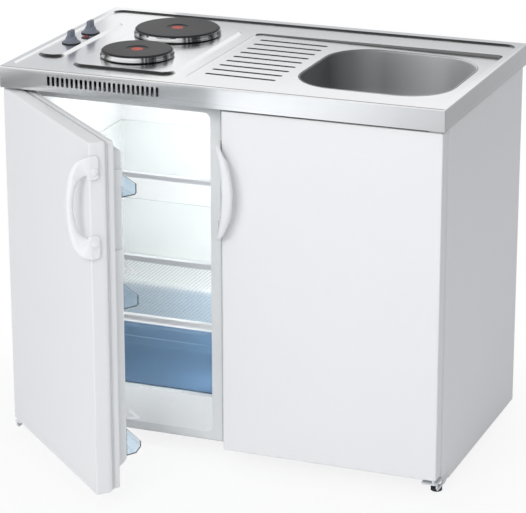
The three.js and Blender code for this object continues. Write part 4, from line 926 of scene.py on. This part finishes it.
class KITCHENETTE_OT_fridge_door(bpy.types.Operator):
    """Make the refrigerator's door: skin, inner panel and gasket"""

    bl_idname = "kitchenette.fridge_door"
    bl_label = "Refrigerator door"

    def execute(self, context):
        rework("door_skin", "fridge_door_skin", "fridge_door", "enamel", 0.5, crease=40)
        rework("door_inner", "fridge_door_panel", "fridge_door", "liner", 1.0, crease=40)
        rework("door_gasket", "fridge_door_seal", "fridge_door", "seal", 0.8, crease=50)
        for name, z0, z1 in (("upper", 690, 727), ("lower", 499, 556)):
            piece(f"door_boss_{name}", swung(self.boss(z0, z1)), "fridge_door", "liner")
        # A grey strip set deep in the gap between skin and gasket: painted shade standing for the shadow
        # in that gap.
        gap = block(-18.2, -13.5, -254.9, -254, 41, 794, 0.2)
        piece("door_gap_shade", swung(gap), "fridge_door", "grey")
        for place, z in (("top", 787), ("bottom", 49)):
            seam = block(-11, -9.85, -288, -268, z, z + 0.7, 0.2)
            piece(f"door_cap_seam_{place}", swung(seam), "fridge_door", "seal")
        return {"FINISHED"}

    def boss(self, z0, z1):
        """A pad on the panel's side, where a bin hooks on."""
        rings = []
        for y, x in ((-250, -39.2), (-214, -39.2), (-210, -40), (-208.6, -44)):
            corners = ((x - 9, y, z0 + 1), (x, y, z0), (x, y, z1), (x - 9, y, z1 - 1))
            rings.append([at(*p) for p in corners])
        return eased(skinned(rings), 0.7 * MM)


class KITCHENETTE_OT_door_bins(bpy.types.Operator):
    """Make the door's bins and their guard rails"""

    bl_idname = "kitchenette.door_bins"
    bl_label = "Door bins"

    def execute(self, context):
        for place in ("upper", "middle", "lower"):
            rework(f"bin_{place}", f"door_bin_{place}", "fridge_door", "bin", 0.5, crease=40)
        for place in ("middle", "lower"):
            rework(f"guard_{place}", f"bottle_guard_{place}", "fridge_door", "white", 0.5)
        return {"FINISHED"}


# ---- doors' handles --------------------------------------------------------------------------


PAD_ROUND = 9
BOW = {"top": 772, "bottom": 555, "pad": 50, "plate": 5.7, "sunk": 20, "gap": 0.3}


def bow_stations():
    """Rows along the handle, from one pad to the other: height, reach forward of the door's face,
    reach out past its edge, and the section's height and thickness."""
    pad = BOW["top"] - BOW["pad"] / 2
    middle = (BOW["top"] + BOW["bottom"]) / 2
    half = (BOW["top"] - BOW["bottom"]) / 2
    rows = []
    for in_by, thick in ((0, 3.2), (0.6, 4.6), (1.5, 5.4), (3, 5.7), (5.5, 5.7), (9, 5.7)):
        inset = PAD_ROUND - math.sqrt(PAD_ROUND ** 2 - (PAD_ROUND - in_by) ** 2)
        rows.append((pad, in_by - BOW["sunk"], BOW["gap"] + thick / 2, BOW["pad"] - 2 * inset, thick))
    flat = BOW["gap"] + BOW["plate"] / 2
    rows += [
        (pad, -5, flat, 50, 5.7), (pad, 1, flat - 0.1, 49.6, 5.9), (pad - 1, 9, -1, 44.5, 9),
        (pad - 7, 17, -10, 35, 15), (pad - 22, 25.5, -18, 24, 19.5),
        (middle + half * 0.34, 31.5, -24.5, 17, 22), (middle, 34.5, -28, 14, 23),
    ]
    return rows + [(2 * middle - z, *rest) for z, *rest in rows[-2::-1]]


def bow(edge, out, drop):
    """The handle's sweep: edge is where the door's edge lies, and out is the way out from it."""
    rows = smooth_course(bow_stations())
    centres = [at(edge + out * row[2], -295 - row[1], row[0] - drop) for row in rows]
    rings = []
    for i, (_, _, _, tall, thick) in enumerate(rows):
        along = centres[min(i + 1, len(rows) - 1)] - centres[max(i - 1, 0)]
        along.x = 0
        up = Vector((1, 0, 0)).cross(along.normalized())
        shape = outline(-thick / 2, thick / 2, -tall / 2, tall / 2, min(thick, tall) * 0.44, 6)
        rings.append([centres[i] + Vector((u * MM, 0, 0)) + up * v * MM for u, v in shape])
    return skinned(rings)


def screw_cap(edge, out, z):
    """A domed cover on a handle's screw, drawn at its place on the door's edge."""
    bm = lathed([(8.2, 0), (8.2, 0.5), (7.9, 1.0), (7.2, 1.4), (5.6, 1.75), (3, 1.95), (0, 2)], 40)
    seat = edge + out * (2 * BOW["gap"] + BOW["plate"])
    bm.transform(Matrix.Translation(at(seat, -285, z)) @ Matrix.Rotation(out * math.pi / 2, 4, "Y"))
    return bm


class KITCHENETTE_OT_handles(bpy.types.Operator):
    """Sweep the two bow handles and set their screw caps"""

    bl_idname = "kitchenette.handles"
    bl_label = "Handles"

    def execute(self, context):
        doors = (("fridge", "fridge_door", -10, 1, 0), ("cupboard", "cupboard_door_body", 10, -1, 39.5))
        for door, body, edge, out, drop in doors:
            grip = bow(edge, out, drop)
            if door == "fridge":
                swung(grip)
            piece(f"{door}_grip", grip, body, "white", [f"{door}_handle"], crease=60)
            for place, z in (("upper", BOW["top"] - 33), ("lower", BOW["bottom"] + 33)):
                cap = screw_cap(edge, out, z - drop)
                if door == "fridge":
                    swung(cap)
                piece(f"{door}_cap_{place}", cap, body, "white", [f"{door}_handle_cap_{place}"],
                      crease=50)
        return {"FINISHED"}


# ---- cupboard --------------------------------------------------------------------------------


class KITCHENETTE_OT_cupboard(bpy.types.Operator):
    """Make the sink cupboard: its boards, side panel and door"""

    bl_idname = "kitchenette.cupboard"
    bl_label = "Sink cupboard"

    def execute(self, context):
        rework("panel_side", "side_panel", "unit", "enamel", 0.4)
        for name in ("divider", "floor", "back"):
            rework(f"board_{name}", f"cupboard_{name}", "unit", "board", 0.4)
        rework("door_cupboard", "cupboard_door", "cupboard_door_body", "enamel", 0.5, crease=40)
        return {"FINISHED"}


class KITCHENETTE_OT_fittings(bpy.types.Operator):
    """Make the hinges and the levelling feet"""

    bl_idname = "kitchenette.fittings"
    bl_label = "Hinges and feet"

    def execute(self, context):
        for door in ("fridge", "cupboard"):
            rework(f"{door}_plate_top", f"{door}_hinge_top", "unit", "zinc", 0.4)
            finish = "white" if door == "fridge" else "grey"
            rework(f"{door}_plate_bottom", f"{door}_hinge_bottom", "unit", finish, 0.4)
        for name in ("front_left", "front_middle", "front_right", "rear_left", "rear_right"):
            self.leveller(name)
        return {"FINISHED"}

    def leveller(self, name):
        """A ribbed levelling foot on its threaded stem."""
        low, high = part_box("foot_" + name)
        r, tall = (high.x - low.x) / 2 / MM, (high.z - low.z) / MM
        rings = [(0, 0), (r - 1, 0), (r, 1), (r, 2.6), (r - 0.9, 3), (r - 0.9, 3.8), (r, 4.2), (r, 7.6),
                 (r - 0.8, 8.7), (r - 2, 9), (4, 9)]
        thread = 1.5
        for k in range(int((tall - 10) / thread)):
            rings += [(4, 9.4 + thread * k), (3.5, 10.1 + thread * k)]
        rings += [(3.5, tall), (0, tall)]
        piece(f"leveller_{name}", lathed(rings, 48), "unit", "foot", [f"foot_{name}"],
              place=foot_of("foot_" + name))


# ---- stage -----------------------------------------------------------------------------------

CAMERA = {"azimuth": 21.479, "elevation": 18.535, "roll": -0.094, "focal": 2568,
          "spot": (1979.4, -5059.3, 2207.7)}

# What the skirt reflects of the floor in front: X, and the share of the card's strength.
FLOOR_CARD = ((-3.8, 0.04), (-1.75, 0.06), (-1.52, 0.22), (-1.38, 0.62), (-1.22, 0.95), (-1.04, 1.0),
              (-0.84, 1.0), (-0.66, 0.6), (-0.44, 0.38), (1.5, 0.33))


def sight():
    """The camera's turn as a matrix: it looks from the front right, down on the worktop."""
    a, e = math.radians(CAMERA["azimuth"]), math.radians(CAMERA["elevation"])
    ahead = Vector((-math.sin(a) * math.cos(e), math.cos(a) * math.cos(e), -math.sin(e)))
    right = ahead.cross(Vector((0, 0, 1))).normalized()
    up = right.cross(ahead)
    roll = math.radians(CAMERA["roll"])
    level = Matrix((right, up, -ahead)).transposed()
    return level @ Matrix.Rotation(roll, 3, "Z")


def lamp(name, place, target, size, power):
    """A soft lamp that the metal doesn't show: the cards are there for that."""
    data = bpy.data.lights.new(name, "AREA")
    data.shape = "RECTANGLE"
    data.size, data.size_y = size
    data.energy = power
    made = placed(name, data)
    made.location = place
    made.rotation_mode = "QUATERNION"
    made.rotation_quaternion = (Vector(target) - Vector(place)).to_track_quat("-Z", "Y")
    made.visible_glossy = False


def emptied(made, kind="Material"):
    """The tree of a new material or world with nothing in it but an output, and that output."""
    made.use_nodes = True
    made.node_tree.nodes.clear()
    return made.node_tree, add(made.node_tree, "ShaderNodeOutput" + kind).inputs["Surface"]


def card(name, corners, strength, ramp=()):
    """A grey card that shows in reflections alone, set to draw the edges of the metal.

    A ramp is rows of an X and the share of the strength that shows there."""
    mesh = bpy.data.meshes.new(name)
    mesh.from_pydata(corners, [], [(0, 1, 2, 3)])
    made = placed(name, mesh)
    made.visible_camera = made.visible_diffuse = made.visible_shadow = False
    made.visible_transmission = made.visible_volume_scatter = False
    material = bpy.data.materials.new(name)
    tree, surface = emptied(material)
    if ramp:
        across = split(tree, add(tree, "ShaderNodeTexCoord").outputs["Object"])["X"]
        first, last = ramp[0][0], ramp[-1][0]
        graded = add(tree, "ShaderNodeValToRGB", {"Fac": remap(tree, across, first, last, 0.0, 1.0)})
        stops = graded.color_ramp.elements
        for x, share in ramp[1:-1]:
            stops.new((x - first) / (last - first))
        for stop, (_, share) in zip(stops, ramp):
            stop.color = (share, share, share, 1)
        strength = reckon(tree, "MULTIPLY", graded.outputs["Color"], strength)
    grey = add(tree, "ShaderNodeEmission", {"Color": (0.96, 0.98, 1, 1), "Strength": strength})
    tree.links.new(grey.outputs[0], surface)
    mesh.materials.append(material)


class KITCHENETTE_OT_stage(bpy.types.Operator):
    """Set the floor, the lamps, the world and the camera"""

    bl_idname = "kitchenette.stage"
    bl_label = "Stage"

    def execute(self, context):
        scene = context.scene
        scene.view_settings.view_transform = "Standard"
        self.floor()
        self.world(scene)
        lamp("Key lamp", (-0.4, -4.5, 3.3), (0, 0, 0.45), (2.6, 2.0), 104)
        lamp("Fill lamp", (-0.5, -3.0, 0.3), (-0.25, -0.2, 0.75), (2.0, 0.5), 5)
        room = at(-249, 0, 760)
        lamp("Compartment lamp", room, room - Vector((0, 0, 1)), (0.34, 0.3), 0.6)
        side = at(-60, -140, 430)
        lamp("Side lamp", side, side + Vector((-0.45, 0.7, 0)), (0.05, 0.56), 1.2)
        sill = at(-249, -205, 264)
        lamp("Sill lamp", sill, at(-249, -214, 49), (0.36, 0.05), 0.16)
        card("Right card", [(1.15, -0.5, 0), (1.15, 2.8, 0), (1.15, 2.8, 1.5), (1.15, -0.5, 1.5)], 0.38)
        back, low = 1.1, 0.86  # the cards behind stand from just above the worktop
        for name, x0, x1, top, strength in (("Back card", -0.62, 2.4, 1.1, 0.6),
                                            ("Left card", -2.4, -0.82, 1.9, 0.7)):
            corners = [(x0, back, low), (x1, back, low), (x1, back, top), (x0, back, top)]
            card(name, corners, strength)
        corners = [(-3.8, -4.4, 0.01), (1.5, -4.4, 0.01), (1.5, -1.9, 0.01), (-3.8, -1.9, 0.01)]
        card("Floor card", corners, 1.42, FLOOR_CARD)
        camera = placed("Camera", bpy.data.cameras.new("Camera"))
        camera.data.sensor_width = SENSOR
        camera.data.lens = CAMERA["focal"] * SENSOR / PHOTO_WIDTH
        camera.data.clip_end = 60
        camera.location = at(*CAMERA["spot"])
        camera.rotation_mode = "QUATERNION"
        camera.rotation_quaternion = sight().to_quaternion()
        scene.camera = camera
        return {"FINISHED"}

    def floor(self):
        """A pale disc that the camera sees as white, but for the object's shadow."""
        bm = bmesh.new()
        bmesh.ops.create_circle(bm, cap_ends=True, segments=96, radius=9)
        mesh = bpy.data.meshes.new("Floor")
        bm.to_mesh(mesh)
        bm.free()
        made = placed("Floor", mesh)
        material = bpy.data.materials.new("Pale floor")
        tree, surface = emptied(material)
        matt = add(tree, "ShaderNodeBsdfDiffuse", {"Color": (0.88, 0.88, 0.89, 1)})
        white = add(tree, "ShaderNodeEmission", {"Color": (1, 1, 1, 1), "Strength": 1.0})
        rays = add(tree, "ShaderNodeLightPath").outputs
        seen = reckon(tree, "MAXIMUM", rays["Is Camera Ray"], rays["Is Transmission Ray"])
        reach = vectors(tree, "LENGTH", add(tree, "ShaderNodeTexCoord").outputs["Object"])
        share = reckon(tree, "MULTIPLY", seen, remap(tree, reach, 0.55, 0.95, 0.86, 1.0))
        both = add(tree, "ShaderNodeMixShader", {0: share, 1: matt.outputs[0], 2: white.outputs[0]})
        tree.links.new(both.outputs[0], surface)
        mesh.materials.append(material)

    def world(self, scene):
        """An even light, shown as white to the camera and, darker overhead, to the metal."""
        world = bpy.data.worlds.new("Studio")
        scene.world = world
        tree, surface = emptied(world, "World")
        rays = add(tree, "ShaderNodeLightPath").outputs
        height = split(tree, add(tree, "ShaderNodeTexCoord").outputs["Generated"])["Z"]
        ceiling = remap(tree, height, 0.45, 0.9, 1.0, 0.2)
        shown = add(tree, "ShaderNodeBackground", {"Color": (1, 1, 1, 1), "Strength": ceiling})
        lit = add(tree, "ShaderNodeBackground", {"Color": (0.97, 0.98, 1, 1), "Strength": 0.6})
        seen = rays["Is Camera Ray"]
        for other in ("Is Glossy Ray", "Is Transmission Ray"):
            seen = reckon(tree, "MAXIMUM", seen, rays[other])
        both = add(tree, "ShaderNodeMixShader", {0: seen, 1: lit.outputs[0], 2: shown.outputs[0]})
        tree.links.new(both.outputs[0], surface)


# ---- the add-on ------------------------------------------------------------------------------

STEPS = (
    KITCHENETTE_OT_worktop, KITCHENETTE_OT_sink, KITCHENETTE_OT_hotplates, KITCHENETTE_OT_controls,
    KITCHENETTE_OT_fridge, KITCHENETTE_OT_shelves, KITCHENETTE_OT_fridge_door,
    KITCHENETTE_OT_door_bins, KITCHENETTE_OT_handles, KITCHENETTE_OT_cupboard,
    KITCHENETTE_OT_fittings, KITCHENETTE_OT_stage,
)


class KITCHENETTE_PT_panel(bpy.types.Panel):
    """Lists the steps that dress the unit, and its sizes and colours"""

    bl_idname = "KITCHENETTE_PT_panel"
    bl_label = "Kitchenette unit"
    bl_space_type = "VIEW_3D"
    bl_region_type = "UI"
    bl_category = "Kitchenette"

    def draw(self, context):
        for step in STEPS:
            self.layout.operator(step.bl_idname)
        for group in (context.scene.kitchenette_sizes, context.scene.kitchenette_colours):
            for name in group.__annotations__:
                self.layout.prop(group, name)


CLASSES = (KitchenetteColours, KitchenetteSizes, *STEPS, KITCHENETTE_PT_panel)


def register():
    for cls in CLASSES:
        bpy.utils.register_class(cls)
    bpy.types.Scene.kitchenette_colours = bpy.props.PointerProperty(type=KitchenetteColours)
    bpy.types.Scene.kitchenette_sizes = bpy.props.PointerProperty(type=KitchenetteSizes)


def unregister():
    del bpy.types.Scene.kitchenette_sizes
    del bpy.types.Scene.kitchenette_colours
    for cls in reversed(CLASSES):
        bpy.utils.unregister_class(cls)


def main():
    register()
    for step in STEPS:
        section, name = step.bl_idname.split(".")
        getattr(getattr(bpy.ops, section), name)()


if __name__ == "__main__":
    main()
